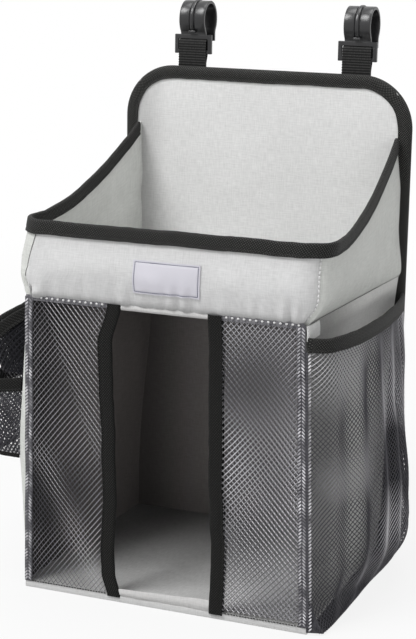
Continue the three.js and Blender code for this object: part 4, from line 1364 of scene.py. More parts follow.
def line_of(spot, count=240):
    return [Vector(spot(i / count)) for i in range(count + 1)]


STITCH = (2.5, 0.62, 0.5)
STITCH_PITCH = 3.3
CORNER_OUT = math.sqrt(0.5)


def stitched(
    name, spot, thread=BLACK_THREAD, slot="binding", size=STITCH, pitch=STITCH_PITCH, outwards=FORWARDS,
):
    settle(row_of_beads(name, line_of(spot), pitch, size, outwards), thread, slot)


def tape_stitches(name, plan, top, first, last, thickness, level, inner=False):
    """Stitches along the hem of a tape that is folded over a wall."""
    station, length = even_stations(plan, level, first, last)
    down = TAPE_WIDTH - STITCH_INSET
    out = ((thickness / 2 + TAPE_FULLNESS) * 0.8 + 0.1) * (-1 if inner else 1)

    def spot(u):
        s = station(u)
        return on_wall(plan, s, top(s) - down + waver(u * length), out - thickness / 2)
    stitched(name, spot)


for name, inner in (("rim_stitches_outside", False), ("rim_stitches_inside", True)):
    tape_stitches(name, bin_plan, rim_top, -TAPE_END, TAPE_END, CLOTH, RIM_FRONT_Z, inner)


def corner_seam_spot(side, foot, out):
    def spot(u):
        z = lerp(SHELF_Z + foot, RIM_FRONT_Z - TAPE_WIDTH - 0.5, u)
        return on_bin(side * seam_station(side, z), z, out)
    return spot


# the left seam's dark grey beads are painted shade; the right seam's pale beads have the cloth's own colour
for name, side, foot, out, thread, size, pitch in (
    ("left", -1, 17, 0.2, SHADED_SEAM_THREAD, (2.8, 1.2, 0.6), 1.8),
    ("right", 1, 3, 0.7, PALE_THREAD, (3.6, 2.1, 1.7), 3.9),
):
    outwards = (side * CORNER_OUT, -CORNER_OUT, 0)
    stitched(f"bin_{name}_seam", corner_seam_spot(side, foot, out), thread, "cloth", size, pitch, outwards)

for name, side in SIDES:
    def shelf_seam_spot(u):
        t = lerp(0.04, 1, u)
        x = side * (flank_x(side, t, SHELF_Z) + 0.9)
        return x, lerp(SIDE_FRONT_Y, BODY_REAR_Y, t), SHELF_Z - 0.2
    stitched(f"shelf_seam_{name}", shelf_seam_spot, GREY_THREAD, "cloth", (2.2, 0.6, 0.5), 2.0, (side, 0, 0))


def panel_stitch_spot(u):
    x, z, nx, nz = panel_edge(u * OUTLINE)
    inset = TAPE_WIDTH - STITCH_INSET + waver(u * OUTLINE)
    return x - nx * inset, BINDING_MIDDLE - BINDING_HALF * 0.8 - 0.1, z - nz * inset


stitched("panel_binding_stitches", panel_stitch_spot)

# %% [markdown]
# Label patch
#
# A woven patch is sewn on the middle of the band. It carries no words. It lies on the band's own
# surface, so it follows the puff, and its edge dips where the border is sewn through.

# %% Label and its border
LABEL_WIDTH = 62.0
LABEL_HEIGHT = 29.0
LABEL_FOOT = SHELF_Z + 14
BORDER_INSET = 1.7


def band_point(x, z, out):
    """A point on the front of the band, a distance outside its cloth."""
    return on_bin(x / (bin_half(z) - corner_r(z)), z, out)


def label_spot(u, v):
    x = lerp(-LABEL_WIDTH / 2, LABEL_WIDTH / 2, u)
    z = LABEL_FOOT + v * LABEL_HEIGHT
    edge = min(LABEL_WIDTH / 2 - abs(x), v * LABEL_HEIGHT, (1 - v) * LABEL_HEIGHT)
    lift = 1.2 + 0.35 * clamp(edge / 4) - 0.45 * bell(edge, BORDER_INSET, 0.5)
    return band_point(x, z, lift + ruffle((x, 0, z), 14, 0.18, 6.0))


label = cloth_piece("label_patch_cloth", label_spot, 78, 35, (LABEL_WIDTH, LABEL_HEIGHT), 0.9)
settle(label, LABEL_WEAVE, "label", ["label_patch"])


def border_spot(u):
    wide, tall = LABEL_WIDTH - 2 * BORDER_INSET, LABEL_HEIGHT - 2 * BORDER_INSET
    distance = u * 2 * (wide + tall)
    there = clamp(distance, 0, wide) - clamp(distance - wide - tall, 0, wide)
    upwards = clamp(distance - wide, 0, tall) - clamp(distance - 2 * wide - tall, 0, tall)
    return band_point(there - wide / 2, LABEL_FOOT + BORDER_INSET + upwards, 1.3)


border = row_of_beads("label_border", line_of(border_spot, count=400), 1.9, (1.9, 0.62, 0.5))
settle(border, LABEL_THREAD, "label")

# %% [markdown]
# Shelf and linings
#
# The shelf is a board between two cloths: the bin's floor above and the compartment's ceiling
# below. The panel's board stays as packed and only gets a better material, while the shelf's and
# the base's boards lean with the cloths that hold them.

# %% Bin floor, shelf underside and boards
def inner_half(y, z):
    """Half width inside the bin at a depth, round its front corners too."""
    half = bin_half(z)
    _, front = bin_plan(0, z)
    radius = corner_r(z)
    turn = front + radius
    if y < turn:
        return half - radius + math.sqrt(max((radius - CLOTH - GAP) ** 2 - (turn - y) ** 2, 0))
    return lerp(half, REAR_HALF, (y - turn) / (BODY_REAR_Y - turn)) - CLOTH - GAP


def shelf_x(u, half, y, z):
    """Across the shelf from its left edge to its right one, which stands out at the panel."""
    return lerp(-half, half + depth_at(y) * rear_lean(z), u)


def bin_floor_spot(u, v):
    z = SHELF_Z + 0.15 + CLOTH
    _, front = bin_plan(0, z)
    y = lerp(front + CLOTH + GAP, BODY_REAR_Y - GAP, v)
    x = shelf_x(u, inner_half(y, z), y, z)
    edge = min(u, 1 - u, v, 1 - v) * 200
    return x, y, z + clamp(edge / 20) * (0.5 + ruffle((x, y, 0), 50, 0.6, 2.0))


floor_size = (2 * WAIST_HALF, BODY_REAR_Y - BODY_FRONT_Y)
bin_floor = cloth_piece("bin_floor_cloth", bin_floor_spot, 60, 60, floor_size, CLOTH)
settle(bin_floor, LINING, "lining", ["bin_floor"])


def ceiling_spot(u, v):
    low, high = box_mm("shelf_underside")
    y = lerp(high.y, low.y, v)
    x = shelf_x(u, WAIST_HALF - CLOTH - 2 * GAP, y, SHELF_Z)
    hold = clamp(min(u, 1 - u, v, 1 - v) * 8)
    return x, y, low.z + 0.3 - hold * (0.8 + ruffle((x, y, 0), 60, 0.9, 4.0))


ceiling = cloth_piece("shelf_underside_cloth", ceiling_spot, 50, 50, floor_size, CLOTH * 0.9)
# painted shade: the compartment's ceiling gets the dark copy of the lining
settle(ceiling, SHADED_LINING, "lining", ["shelf_underside"])

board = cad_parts["back_panel_board"].data.materials
board.clear()
board.append(BOARD)

for node, inset, lean_z in (("shelf_board", 1.5, SHELF_Z - GAP), ("base_board", 4.5, 0)):
    low, high = box_mm(node)

    def board_spot(u, v):
        y = lerp(low.y + inset, high.y, v)
        return shelf_x(u, min(-low.x, high.x) - inset, y, lean_z), y, high.z
    name = node.replace("board", "stiffener")
    stiffener = cloth_piece(name, board_spot, 12, 12, floor_size, high.z - low.z)
    settle(stiffener, BOARD, "board", [node])

# %% [markdown]
# Side panels
#
# The lower sides are single cloths that belly out a little. The pull of the corners and of the
# pocket seams makes long upright folds in them, which the noise below gives by being stretched
# four times in height. Their inside gets a dark copy of the cloth as painted shade, the left one
# darker still towards the front, and the right one's outside is painted darker towards the front.

# %% Lower side panels
def side_folds(side, y, z):
    near_front = clamp((y - BODY_FRONT_Y) / 18)
    near_rear = clamp((BODY_REAR_Y - y) / 12)
    folds = ruffle((0, y, z / 4), 27, 2.4, 5.0 + side) + ruffle((0, y, z), 55, 1.4, 1.0)
    return wall_arch(z) ** 0.7 * near_front * near_rear * folds


SIDE_SIZE = (BODY_REAR_Y - SIDE_FRONT_Y, WALL_HEIGHT)
for name, side in SIDES:
    def side_spot(u, v):
        t = u if side > 0 else 1 - u
        z = lerp(BASE_HEIGHT - 1.0, WALL_HEAD_Z, v)
        y = lerp(SIDE_FRONT_Y, BODY_REAR_Y, t)
        brow = 3.0 * bell(z, WALL_HEAD_Z - 9, 8) * arch(t * 1.02) ** 0.5
        return side * (flank_x(side, t, z) - 0.3 + min(side_folds(side, y, z), 1.2) + brow), y, z
    panel = cloth_piece(f"{name}_side_cloth", side_spot, 90, 90, SIDE_SIZE, 1.3)
    # painted shade: the right side's outside darkens towards the front
    settle(panel, SIDE_CLOTH if side < 0 else LOW_SIDE_CLOTH, "side_cloth", [f"{name}_side_panel"])
    # painted shade: the insides get dark copies of the cloth
    lining = LEFT_LINING if side < 0 else SHADED_LINING
    line_faces(panel, lining, lambda face: face.normal.x * side < -0.2)

# %% [markdown]
# Header and lip
#
# Between the tapes the opening is edged with two strips of the front cloth: a small rolled one
# under the shelf, whose upper edge is drawn into scallops by its overlock stitch, and a taller one
# on the floor, folded over so that its top is round.

# %% Strips above and below the opening
def strip_ends(z):
    inside = TAPE_WIDTH / 2 + GAP
    return edge_centre(LEFT_EDGE, z) + inside, edge_centre(RIGHT_EDGE, z) - inside


HEADER_HEIGHT = 5.2
SCALLOP_HEIGHT = 0.9


def header_spot(u, v):
    angle = math.pi * v
    z = WALL_HEAD_Z - 3.4 + HEADER_HEIGHT * v
    x = lerp(*strip_ends(z), u)
    scallop = SCALLOP_HEIGHT * abs(math.sin(math.pi * x / DIAMOND_WIDTH)) * clamp((v - 0.7) / 0.3)
    y = BODY_FRONT_Y + 1.2 - 2.6 * math.sin(angle) ** 0.7 + ruffle((x, 0, z), 9, 0.4, 3.0)
    return x, y, z + scallop - 0.6


header = cloth_piece("front_header_strip", header_spot, 110, 14, (90, 12), 1.2)
# painted shade: the header strip gets the darker copy of the light cloth
settle(header, HEM_CLOTH, "cloth", ["front_header"])

LIP_HEIGHT = (6.5, 10.5)
LIP_FOLD = 0.72


def lip_spot(u, v):
    z = WALL_FOOT_Z + lerp(*LIP_HEIGHT, u) * min(1, v / LIP_FOLD)
    x = lerp(*strip_ends(z), u)
    over = clamp((v - LIP_FOLD) / (1 - LIP_FOLD))
    roll = math.pi * over
    y = BODY_FRONT_Y + 0.2 - 1.4 * arch(v / LIP_FOLD) + 1.3 * (1 - math.cos(roll))
    lift = 1.3 * math.sin(roll) - over * 2.5 + 0.5 * ruffle((x, 0, 0), 20, 1.0, 2.0) * clamp(v * 2)
    return x, y + ruffle((x, 0, z), 18, 0.5, 9.0), z + lift - 0.5


lip = cloth_piece("front_lip_strip", lip_spot, 90, 26, (90, 18), 0.9)
# painted shade: the lip gets the darker copy of the light cloth
settle(lip, HEM_CLOTH, "cloth", ["front_lip"])

# %% [markdown]
# Base
#
# The base is a shallow cloth tray round a board. It is made from a cube: the rear is narrowed to
# follow the body, the top face is inset and pushed down for the board, and the edges are rounded.
# The floor cloth lies in the tray and rises a little where the board's edge lifts it.

# %% Base tray and floor cloth
EDGE_ROUNDING = 0.7


def base_tray():
    tray = new_box("base_tray", (base_low + base_high) / 2, base_high - base_low)
    for vertex in tray.data.vertices:
        if vertex.co.y > 0:
            vertex.co.x = math.copysign(REAR_HALF * MM, vertex.co.x)
        vertex.co = Vector(leant(vertex.co / MM)) * MM
    sunk = {"value": (0, 0, -(BASE_HEIGHT - CLOTH) * MM)}
    edit(tray, [
        (bpy.ops.mesh.inset, {"thickness": CLOTH * MM}),
        (bpy.ops.mesh.extrude_region_move, {"TRANSFORM_OT_translate": sunk}),
        (bpy.ops.mesh.select_all, {"action": "SELECT"}),
        (bpy.ops.uv.cube_project, {"cube_size": 1.0}),
    ], wanted=lambda face: face.normal.z > 0.9)
    apply_modifier(tray, "BEVEL", width=EDGE_ROUNDING * MM, segments=3, limit_method="ANGLE")
    smooth(tray)
    return tray


tray = base_tray()
settle(tray, TRAY_CLOTH, "cloth", ["base_cover"])
# painted shade: the tray's inner faces get the dark copy of the lining
line_faces(tray, SHADED_LINING, lambda face: face.normal.z > 0.3 and face.center.y > (BODY_FRONT_Y + 6) * MM)


def floor_spot(u, v):
    y = lerp(BODY_FRONT_Y + 1.0, BODY_REAR_Y - 1.0, v)
    half = lerp(FOOT_HALF, REAR_HALF, depth_at(y)) - 0.8
    x = lerp(-1, 1, u) * half
    hold = clamp(min(half - abs(x), y - BODY_FRONT_Y, BODY_REAR_Y - y) / 22)
    lift = 0.4 + ruffle((x, y, 0), 45, 1.0, 6.0) + ruffle((x, y, 0), 16, 0.25)
    return x, y, BASE_HEIGHT + 0.2 + hold * lift


floor_cloth = cloth_piece("floor_cloth_sheet", floor_spot, 80, 80, floor_size, 1.5)
# painted light and shade on the compartment's floor
settle(floor_cloth, FLOOR_LINING, "lining", ["floor_cloth"])

# %% [markdown]
# Braided corner folds
#
# Along both front corners the net is doubled and sewn, which gives a bright edge that looks
# braided. It is a narrow strip with a row of slanted strands on each half, meeting in the middle.

# %% Corner folds
BRAID_PITCH = 3.1
BRAID_TILT = 42
# the strip's tone, a strand's size, and the strands' mean tone
FOLD_LOOKS = {"left": (0.05, (4.4, 1.7, 0.8), 0.33), "right": (0.06, (4.4, 1.5, 1.3), 0.55)}


def corner_fold(name, side):
    ground, bead, base = FOLD_LOOKS[name]

    def centre(z):
        wander = 0.8 * noise.noise(Vector((z / 45, side * 3.0, 0.2)))
        return side * (front_half(z) - CORNER_FOLD / 2 + wander)

    def spot(u, v):
        z = lerp(WALL_FOOT_Z, WALL_HEAD_Z, v)
        x = centre(z) + lerp(-0.5, 0.5, u) * CORNER_FOLD
        return x, BODY_FRONT_Y - 0.5 - 0.5 * math.sin(math.pi * u), z
    strip = cloth_piece(name + "_strip", spot, 6, 90, (CORNER_FOLD, WALL_HEIGHT), 0.7)
    settle(strip, NET_STRAND, "net", [f"front_{name}_corner_fold"])
    paint_tone(strip, lambda point: ground + 0.1 * noise.noise(point * 120))
    for half in (-1, 1):
        def braid_spot(u):
            z = lerp(WALL_FOOT_Z + 1, WALL_HEAD_Z - 1, u)
            return centre(z) + half * CORNER_FOLD / 4, BODY_FRONT_Y - 1.25, z
        line = line_of(braid_spot, 200)
        row = row_of_beads(f"{name}_braid_{half + 1}", line, BRAID_PITCH, bead, tilt=half * BRAID_TILT)
        settle(row, NET_STRAND, "net")
        paint_tone(row, lambda point: max(0.12, base + 0.9 * noise.noise(point * 90 + Vector((half, 0, 0)))))


for name, side in SIDES:
    corner_fold(name, side)

# %% Where the nets end
def seam_line(side, edge, level, rise, forward, short):
    """A level line along a net's end, from the opening's tape to a little short of the corner."""
    ends = (edge_centre(edge, level) + side * 8, side * (front_half(level) - short))
    return line_of(lambda u: (lerp(*ends, u), BODY_FRONT_Y - forward, level + rise), 60)


def net_head_spot(side, edge):
    """The net's upper edge, turned over once: a narrow dense strip behind the loops."""
    def spot(u, v):
        z = WALL_HEAD_Z + lerp(-3.2, 1.6, v)
        ends = sorted((edge_centre(edge, z) + side * 3, side * (front_half(z) - 1)))
        x = lerp(*ends, u)
        return x, BODY_FRONT_Y - 0.7 + 0.15 * math.sin(x * 1.9), z
    return spot


for name, side, edge in OPENING_SIDES:
    top = seam_line(side, edge, WALL_HEAD_Z, 0.1, 1.9, 15 if side < 0 else 2)
    loops = row_of_beads(f"net_top_loops_{name}", top, 5.4, (2.5, 2.1, 1.5), tilt=12)
    settle(loops, PALE_THREAD, "net")
    foot = seam_line(side, edge, WALL_FOOT_Z, 0.4, 0.5, 2)
    settle(row_of_beads(f"net_foot_seam_{name}", foot, 2.7, (2.6, 1.2, 1.0)), BLACK_THREAD, "net")
for name, side, edge in OPENING_SIDES:
    head = cloth_piece(f"net_head_{name}", net_head_spot(side, edge), 90, 4, (70, 4.8), 0.6)
    settle(head, NET_STRAND, "net")
    paint_tone(head, lambda point: 0.16 + 0.25 * noise.noise(point * 700))

# %% [markdown]
# Right pocket
#
# One tall net closes the whole right side. It is fullest near the floor, and its taped mouth bows
# out. Extra width was sewn in, so folds run down from the mouth and a deep pleat stands close to
# the panel. At its foot the net turns in under the body.

# %% Right pocket net and tape
right_station, right_length = even_stations(right_plan, 140, 0.0, 0.995)
FOLD_COUNT = 5.2
FOLD_DEPTH = 2.0
PLEAT_T = 0.87
PLEAT_DEPTH = 6.5
PLEAT_SPREAD = 0.045


def right_folds(t, z):
    mouth = right_mouth(t)
    hang = clamp((mouth - z) / 60)
    low = clamp((z - RIGHT_FOOT_Z) / 35)
    ends = clamp(t / 0.08) * clamp((1 - t) / 0.05)
    fan = 0.34 + (t - 0.34) * (1 + 0.35 * (mouth - z) / 260)
    folds = FOLD_DEPTH * math.sin(2 * math.pi * fan * FOLD_COUNT + 0.6) * hang * low
    pleat = PLEAT_DEPTH * bell(t, PLEAT_T + 0.02 * math.sin(z / 50), PLEAT_SPREAD)
    pleat *= low * clamp((mouth - z) / 30)
    return ends * (folds - pleat + low * ruffle((0, t * 250, z), 40, 1.5, 4.0))


def right_net_spot(a, b, out):
    t = right_station(a / right_length)
    if b < 0:
        return on_wall(right_plan, t, RIGHT_FOOT_Z + 0.7, b + out - NET / 2)
    z = RIGHT_FOOT_Z + b
    return on_wall(right_plan, t, z, out - NET / 2 + right_folds(t, z))


def in_right_net(a, b):
    t = right_station(a / right_length)
    return 0 <= a <= right_length and -7 <= b <= right_mouth(t) - RIGHT_FOOT_Z - 2.5


def right_pocket_shine(point, rising):
    return lerp(0.7, 1, clamp((point.z - 4) / 40))


right_net = net_piece(
    "right_pocket_net", right_length, 262.0, right_net_spot, in_right_net, (-1.2, 0.35), (-0.8, 0.7), 0.42,
    None, (4.6, 4.7), right_pocket_shine,
)
settle(right_net, NET_STRAND, "net", ["right_pocket_mesh"])
right_hem = (right_plan, right_mouth, 0.0, 0.995, NET, 262)
settle(wall_tape("right_pocket_tape", *right_hem), TAPE, "binding", ["right_pocket_binding"])
tape_stitches("right_pocket_stitches", *right_hem)

# %% Foot of the right pocket
FOOT_LEVEL = RIGHT_FOOT_Z + 0.6


def pocket_bottom_spot(u, v):
    t = lerp(0.01, 0.985, u)
    x, y, z = on_wall(right_plan, t, FOOT_LEVEL, -NET)
    return lerp(lerp(FOOT_HALF, REAR_HALF, t) - 3, x, v), y, z


def front_gathers_spot(u, v):
    z = lerp(FOOT_LEVEL, 26, v)
    x, y, _ = on_wall(right_plan, 0.012, z, 0.2)
    return lerp(front_half(z) - 0.5, x, u), lerp(BODY_FRONT_Y - 0.2, y, u), z


def rear_gathers_spot(u, v):
    z = lerp(FOOT_LEVEL, 30, v)
    x, y, _ = on_wall(right_plan, 0.988, z, -NET)
    return lerp(REAR_HALF - 8, x, u), y, z


# the pocket's foot and gathers get the near-black net cloth, partly painted shade
for name, spot, columns, rows, size in (
    ("right_pocket_bottom", pocket_bottom_spot, 60, 4, (230, 14)),
    ("right_corner_gathers", front_gathers_spot, 8, 16, (8, 24)),
    ("right_rear_gathers", rear_gathers_spot, 8, 16, (24, 28)),
):
    settle(cloth_piece(name, spot, columns, rows, size, 0.6), DENSE_NET_AND_SHADE_CLOTH, "net")


def pleat_spot(a, b, out):
    """The net's spare width, folded in double along the panel."""
    t = right_station(a / right_length)
    z = RIGHT_FOOT_Z + b
    return on_wall(right_plan, t, z, out + right_folds(t, z) - NET - 1.6)


def in_pleat(a, b):
    t = right_station(a / right_length)
    edge = 0.8 + 0.02 * math.sin(b / 24)
    return t >= edge and a <= right_length and 2 <= b <= right_mouth(t) - RIGHT_FOOT_Z - 20


pleat = net_piece(
    "right_pocket_pleat", right_length, 240.0, pleat_spot, in_pleat, (-1.0, 0.1),
    radius=0.62, stitch=(3.4, 3.8),
)
settle(pleat, NET_STRAND, "net")

# %% Edge of the right pocket and the gusset above it
def pocket_edge_spot(u):
    z = lerp(RIGHT_FOOT_Z + 2, right_mouth(0) - 13, u)
    return front_half(z) + 3.0, BODY_FRONT_Y + 0.5, z


def groove_shade_spot(u):
    z = lerp(WALL_FOOT_Z, right_mouth(0) - 12, u)
    return front_half(z) + 0.7, BODY_FRONT_Y + 0.1, z


# painted shade: a row of near-black beads stands for the shade in the groove along the right front corner
groove = row_of_beads("right_corner_groove_shade", line_of(groove_shade_spot), 3.0, (4.2, 2.6, 1.6))
settle(groove, NET_STRAND, "net")
paint_tone(groove, lambda point: 0.02)
edge_row = row_of_beads("right_pocket_edge", line_of(pocket_edge_spot), 3.1, (4.4, 1.5, 1.2), tilt=-42)
settle(edge_row, NET_STRAND, "net")
paint_tone(edge_row, lambda point: clamp(0.62 + 0.9 * noise.noise(point * 90)))

GUSSET_DEPTH = 0.115


def gusset_spot(u, v):
    t = GUSSET_DEPTH * u
    z = lerp(right_mouth(0) - 3, SHELF_Z - 1.2, v)
    slack = 0.5 * math.sin(math.pi * v) + 0.5 * math.sin(math.pi * u)
    return flank_x(1, t, z) + 1.3 + slack, lerp(BODY_FRONT_Y + 0.6, BODY_REAR_Y, t), z


def gusset_stitch_spot(u):
    x, y, z = gusset_spot(0.04, u)
    return x + 0.3, y - 0.3, z


gusset = cloth_piece("right_gusset_cloth", gusset_spot, 16, 12, (24, 14), 1.1)
settle(gusset, FRONT_CLOTH, "side_cloth")
stitched(
    "right_gusset_stitches", gusset_stitch_spot, PALE_THREAD, "side_cloth", (2.6, 1.3, 1.0), 2.8,
    (CORNER_OUT, -CORNER_OUT, 0),
)

# %% [markdown]
# Left pockets
#
# Two gusseted net pockets hang one over the other on the left. Each is a strip of net that goes out
# along the rear gusset, round the outer face and back along the front one, with a net floor. The
# lower one has a narrow black hem at its foot.

# %% Left pockets
SPARE_HEIGHT = 30
SPARE_DEPTH = 26


def left_pocket(name, pocket):
    plan = left_plan(pocket)
    mouth = left_mouth(pocket)
    foot = SHELF_Z - pocket["foot"]
    middle_z = (foot + mouth(2.5)) / 2
    station, length = even_stations(plan, middle_z, 0.0, 5.0)

    def spot(a, b, out):
        s = station(a / length)
        z = foot + b
        ends = clamp(min(s, 5 - s))
        sag = ends * ruffle((0, a, z), 30, 1.6, 3.0) * clamp(b / 12)
        return on_wall(plan, s, z, out - NET / 2 + min(sag, 1.5))

    def inside(a, b):
        s = station(a / length)
        return 0 <= a <= length and 0 <= b <= mouth(s) - foot - 2.5
    height = mouth(2.5) - foot + SPARE_HEIGHT
    tones, radius, behind = pocket["net"]
    net = net_piece(f"left_{name}_pocket_net", length, height, spot, inside, tones, tones, radius, behind)
    strand = DARK_STRAND if name == "upper" else NET_STRAND
    settle(net, strand, "net", [f"left_{name}_pocket_mesh"])

    long = LEFT_REAR_Y - LEFT_FRONT_Y

    def floor_net_spot(a, b, out):
        return -WAIST_HALF - pocket["foot_depth"] + NET + b, LEFT_FRONT_Y + NET + a, foot + NET / 2 + out

    def in_floor(a, b):
        x, y, _ = floor_net_spot(a, b, 0)
        corner = min(a, long - 2 * NET - a)
        cut = LEFT_CORNER_R - math.sqrt(max(LEFT_CORNER_R ** 2 - max(LEFT_CORNER_R - corner, 0) ** 2, 0))
        return 0 <= corner and b >= cut and x < 1 - flank_x(-1, side_share(y), foot)
    floor_name = f"left_{name}_pocket_floor"
    floor_net = net_piece(floor_name, long, pocket["foot_depth"] + SPARE_DEPTH, floor_net_spot, in_floor)
    settle(floor_net, NET_STRAND, "net")

    hem = (plan, mouth, 0.0, 5.0, NET, middle_z)
    tape = wall_tape(f"left_{name}_pocket_tape", *hem)
    # painted shade: the pocket tapes get the tape with darker dots
    settle(tape, SHADED_TAPE, "binding", [f"left_{name}_pocket_binding"])
    tape_stitches(f"left_{name}_pocket_stitches", *hem)
    return plan, foot, station, length


left_pocket("upper", UPPER_POCKET)
lower_plan, lower_foot, lower_station, lower_length = left_pocket("lower", LOWER_POCKET)
HEM_HEIGHT = 4.0


def hem_spot(u, v):
    s = lower_station(u)
    z = lower_foot - GAP + HEM_HEIGHT * v + 0.5 * waver(u * lower_length)
    gather = 0.35 * math.sin(u * lower_length * 1.4)
    return on_wall(lower_plan, s, z, 1.4 + 0.4 * math.sin(math.pi * v) + 0.4 * gather)


hem = cloth_piece("left_pocket_hem", hem_spot, 260, 6, (lower_length, HEM_HEIGHT), 1.1)
# painted shade: the hem gets the tape with darker dots
settle(hem, SHADED_TAPE, "binding", ["left_lower_pocket_hem"])

# %% [markdown]
# Strap loops
#
# Each strap is one length of webbing, folded round the hook's bar, with both ends sewn behind the
# panel. It bends where it passes the panel's top edge, so it is blended between the bag, which
# holds the tail, and the loop's own body. Its cross ribs stand every 2.5 mm.

# %% Straps
STRAP_WIDTH = 28.5

STRAP_X = {
    name: sum(corner.x for corner in box_mm(f"{name}_strap")) / 2 for name, _ in SIDES
}
strap_low, strap_high = box_mm("left_strap")
TAIL_FOOT_HEIGHT = box_mm("left_strap_tail")[0].z

STRAP_FRONT_Y = strap_low.y
WEB = 1.5
FOLD_R = 1.625
FOLD_Y = STRAP_FRONT_Y + FOLD_R
FOLD_Z = strap_low.z + FOLD_R
LOOP_R = 3.9
BAR_Y = STRAP_FRONT_Y + LOOP_R
BAR_Z = FOLD_Z + 11.5


def strap_path():
    """The middle of the webbing's thickness, in Y and Z, from the tail's front layer round the
    bar to its rear layer."""
    front = STRAP_FRONT_Y + WEB / 2 + 0.02
    rear = FOLD_Y + FOLD_R - WEB / 2
    turn_z = strap_high.z - LOOP_R + 2.0
    radius = LOOP_R - WEB / 2
    foot = TAIL_FOOT_HEIGHT + 0.2
    angles = [math.pi - math.pi * i / 16 for i in range(1, 16)]
    turn = [(BAR_Y + radius * math.cos(angle), turn_z + radius * math.sin(angle)) for angle in angles]
    places = [
        (front, foot), (front, FOLD_Z), (front, turn_z), *turn, (BAR_Y + radius, turn_z),
        (BAR_Y + radius, BAR_Z), (rear, FOLD_Z + 1), (rear, foot),
    ]
    return [Vector(place) for place in places]


def along_path(path, distance):
    """Place and direction at a distance along a path of straight pieces."""
    for a, b in zip(path, path[1:]):
        length = (b - a).length
        if distance <= length or b is path[-1]:
            return a + (b - a) * (distance / length), (b - a) / length
        distance -= length


def strap(name, middle):
    path = strap_path()
    length = sum((b - a).length for a, b in zip(path, path[1:]))
    rows = round(length / 0.5)

    def spot(u, v):
        (y, z), _ = along_path(path, u * length)
        narrow = 1 - 0.012 * clamp((z - FOLD_Z) / 20)
        x = middle + lerp(-0.5, 0.5, v) * (STRAP_WIDTH - 0.3) * narrow + 0.12 * math.sin(u * length * 2.5)
        return x, y, z
    piece = shaped_grid(name, spot, rows, 14, (length, STRAP_WIDTH))
    run = [0.0] * len(piece.data.vertices)
    for corner, uv in zip(piece.data.loops, piece.data.uv_layers.active.data):
        run[corner.vertex_index] = uv.uv[0] / MM
    plain = len(run)
    apply_modifier(piece, "SOLIDIFY", thickness=(WEB - 0.35) * MM, offset=0)
    normals = [vertex.normal.copy() for vertex in piece.data.vertices]
    for index, vertex in enumerate(piece.data.vertices):
        rib = math.cos(2 * math.pi * run[index % plain] / RIB_PITCH)
        vertex.co += normals[index] * (0.12 * rib) * MM
    smooth(piece, 70)
    return piece


for name, middle in STRAP_X.items():
    webbing = strap(f"{name}_strap_webbing", middle)
    webbing.data.materials.clear()
    webbing.data.materials.append(WEBBING)
    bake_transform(webbing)
    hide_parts(f"{name}_strap", f"{name}_strap_tail")
    print(webbing.name, "-", len(webbing.data.polygons), "faces")

# %% Sewing of the strap tails
SEWN_HALF = 11
SEWN_SPAN = (4, 44)
# a box with a cross in it: 0 and 1 stand for the left or right and for the low or high end
SEWN_PATH = ((0, 0), (1, 0), (1, 1), (0, 1), (0, 0), (1, 1), (1, 0), (0, 1))
SEWN_Y = STRAP_FRONT_Y + 2 * FOLD_R + 0.05

for name, middle in STRAP_X.items():
    sides = (middle - SEWN_HALF, middle + SEWN_HALF)
    line = [Vector((sides[i], SEWN_Y, TAIL_FOOT_HEIGHT + SEWN_SPAN[j])) for i, j in SEWN_PATH]
    row = row_of_beads(f"{name}_tail_sewing", line, 2.8, (2.3, 0.6, 0.5), (0, 1, 0))
    settle(row, BLACK_THREAD, "webbing")

# %% [markdown]
# Rail hooks
#
# A hook is one moulding: a band bent into an open ring, with a neck down to the slot frame and a
# short tail behind. Its outside has a raised rib between two grooves. The band is a grid that is
# rolled round its section and carried along the path. The frame is a cube whose front and rear are
# inset and bridged, which opens the slot.

# %% Section and path of the hook's band
HOOK_WIDTH = 26.0
HOOK_WALL = 3.0
BORE_R = 15.0
RING_R = BORE_R + HOOK_WALL

RING_FORWARD = 11.5
RING_RISE = 31
RING_Y = BAR_Y + RING_FORWARD
RING_Z = BAR_Z + RING_RISE
FRAME_WIDTH = 38
FRAME_DEPTH = 4
FRAME_HEIGHT = 18.5
FRAME_BAR = 3.7
FRAME_FOOT_Z = BAR_Z - 1.9
FRAME_HEAD_Z = FRAME_FOOT_Z + FRAME_HEIGHT
TAIL_FOOT_Z = RING_Z - 21.5
TAIL_BACK = 12.0
FRAME_ROUNDING = 0.45
TAB_FORWARD = 15.6
TAB_DOWN = 11.6
TAB_SIZE = (7.4, 3.4, 2.6)
RIB_ENDS = (38, 34)
RIB_HALF = 2.0
GROOVE = 0.9
SOFT_EDGE = 0.55


def hook_section():
    """Points round the band's section: (across, through), through 0 in the bore and
    HOOK_WALL outside, and a mark for the points of the rib and its grooves."""
    half, wall = HOOK_WIDTH / 2, HOOK_WALL
    groove = RIB_HALF + GROOVE
    outside = [
        (half - SOFT_EDGE, wall, 0), (half - 3, wall, 0), (groove + 0.5, wall, 0), (groove, wall, -0.2),
        (RIB_HALF + 0.5, wall, -0.85), (RIB_HALF, wall, -0.5), (RIB_HALF - 0.3, wall, 0.75),
        (RIB_HALF - 0.9, wall, 1.0),
    ]
    edge = [
        (half - 0.15, wall - 0.15, 0), (half, wall - SOFT_EDGE, 0),
        (half, SOFT_EDGE, 0), (half - 0.15, 0.15, 0),
    ]
    inside = [(half - SOFT_EDGE, 0, 0), (half / 2, 0, 0)]
    right = outside[::-1] + edge + inside
    left = [(-x, through, mark) for x, through, mark in right[::-1]]
    ring = [(0, wall, 1.1)] + right + [(0, 0, 0)] + left
    return ring[-8:] + ring[:-8]


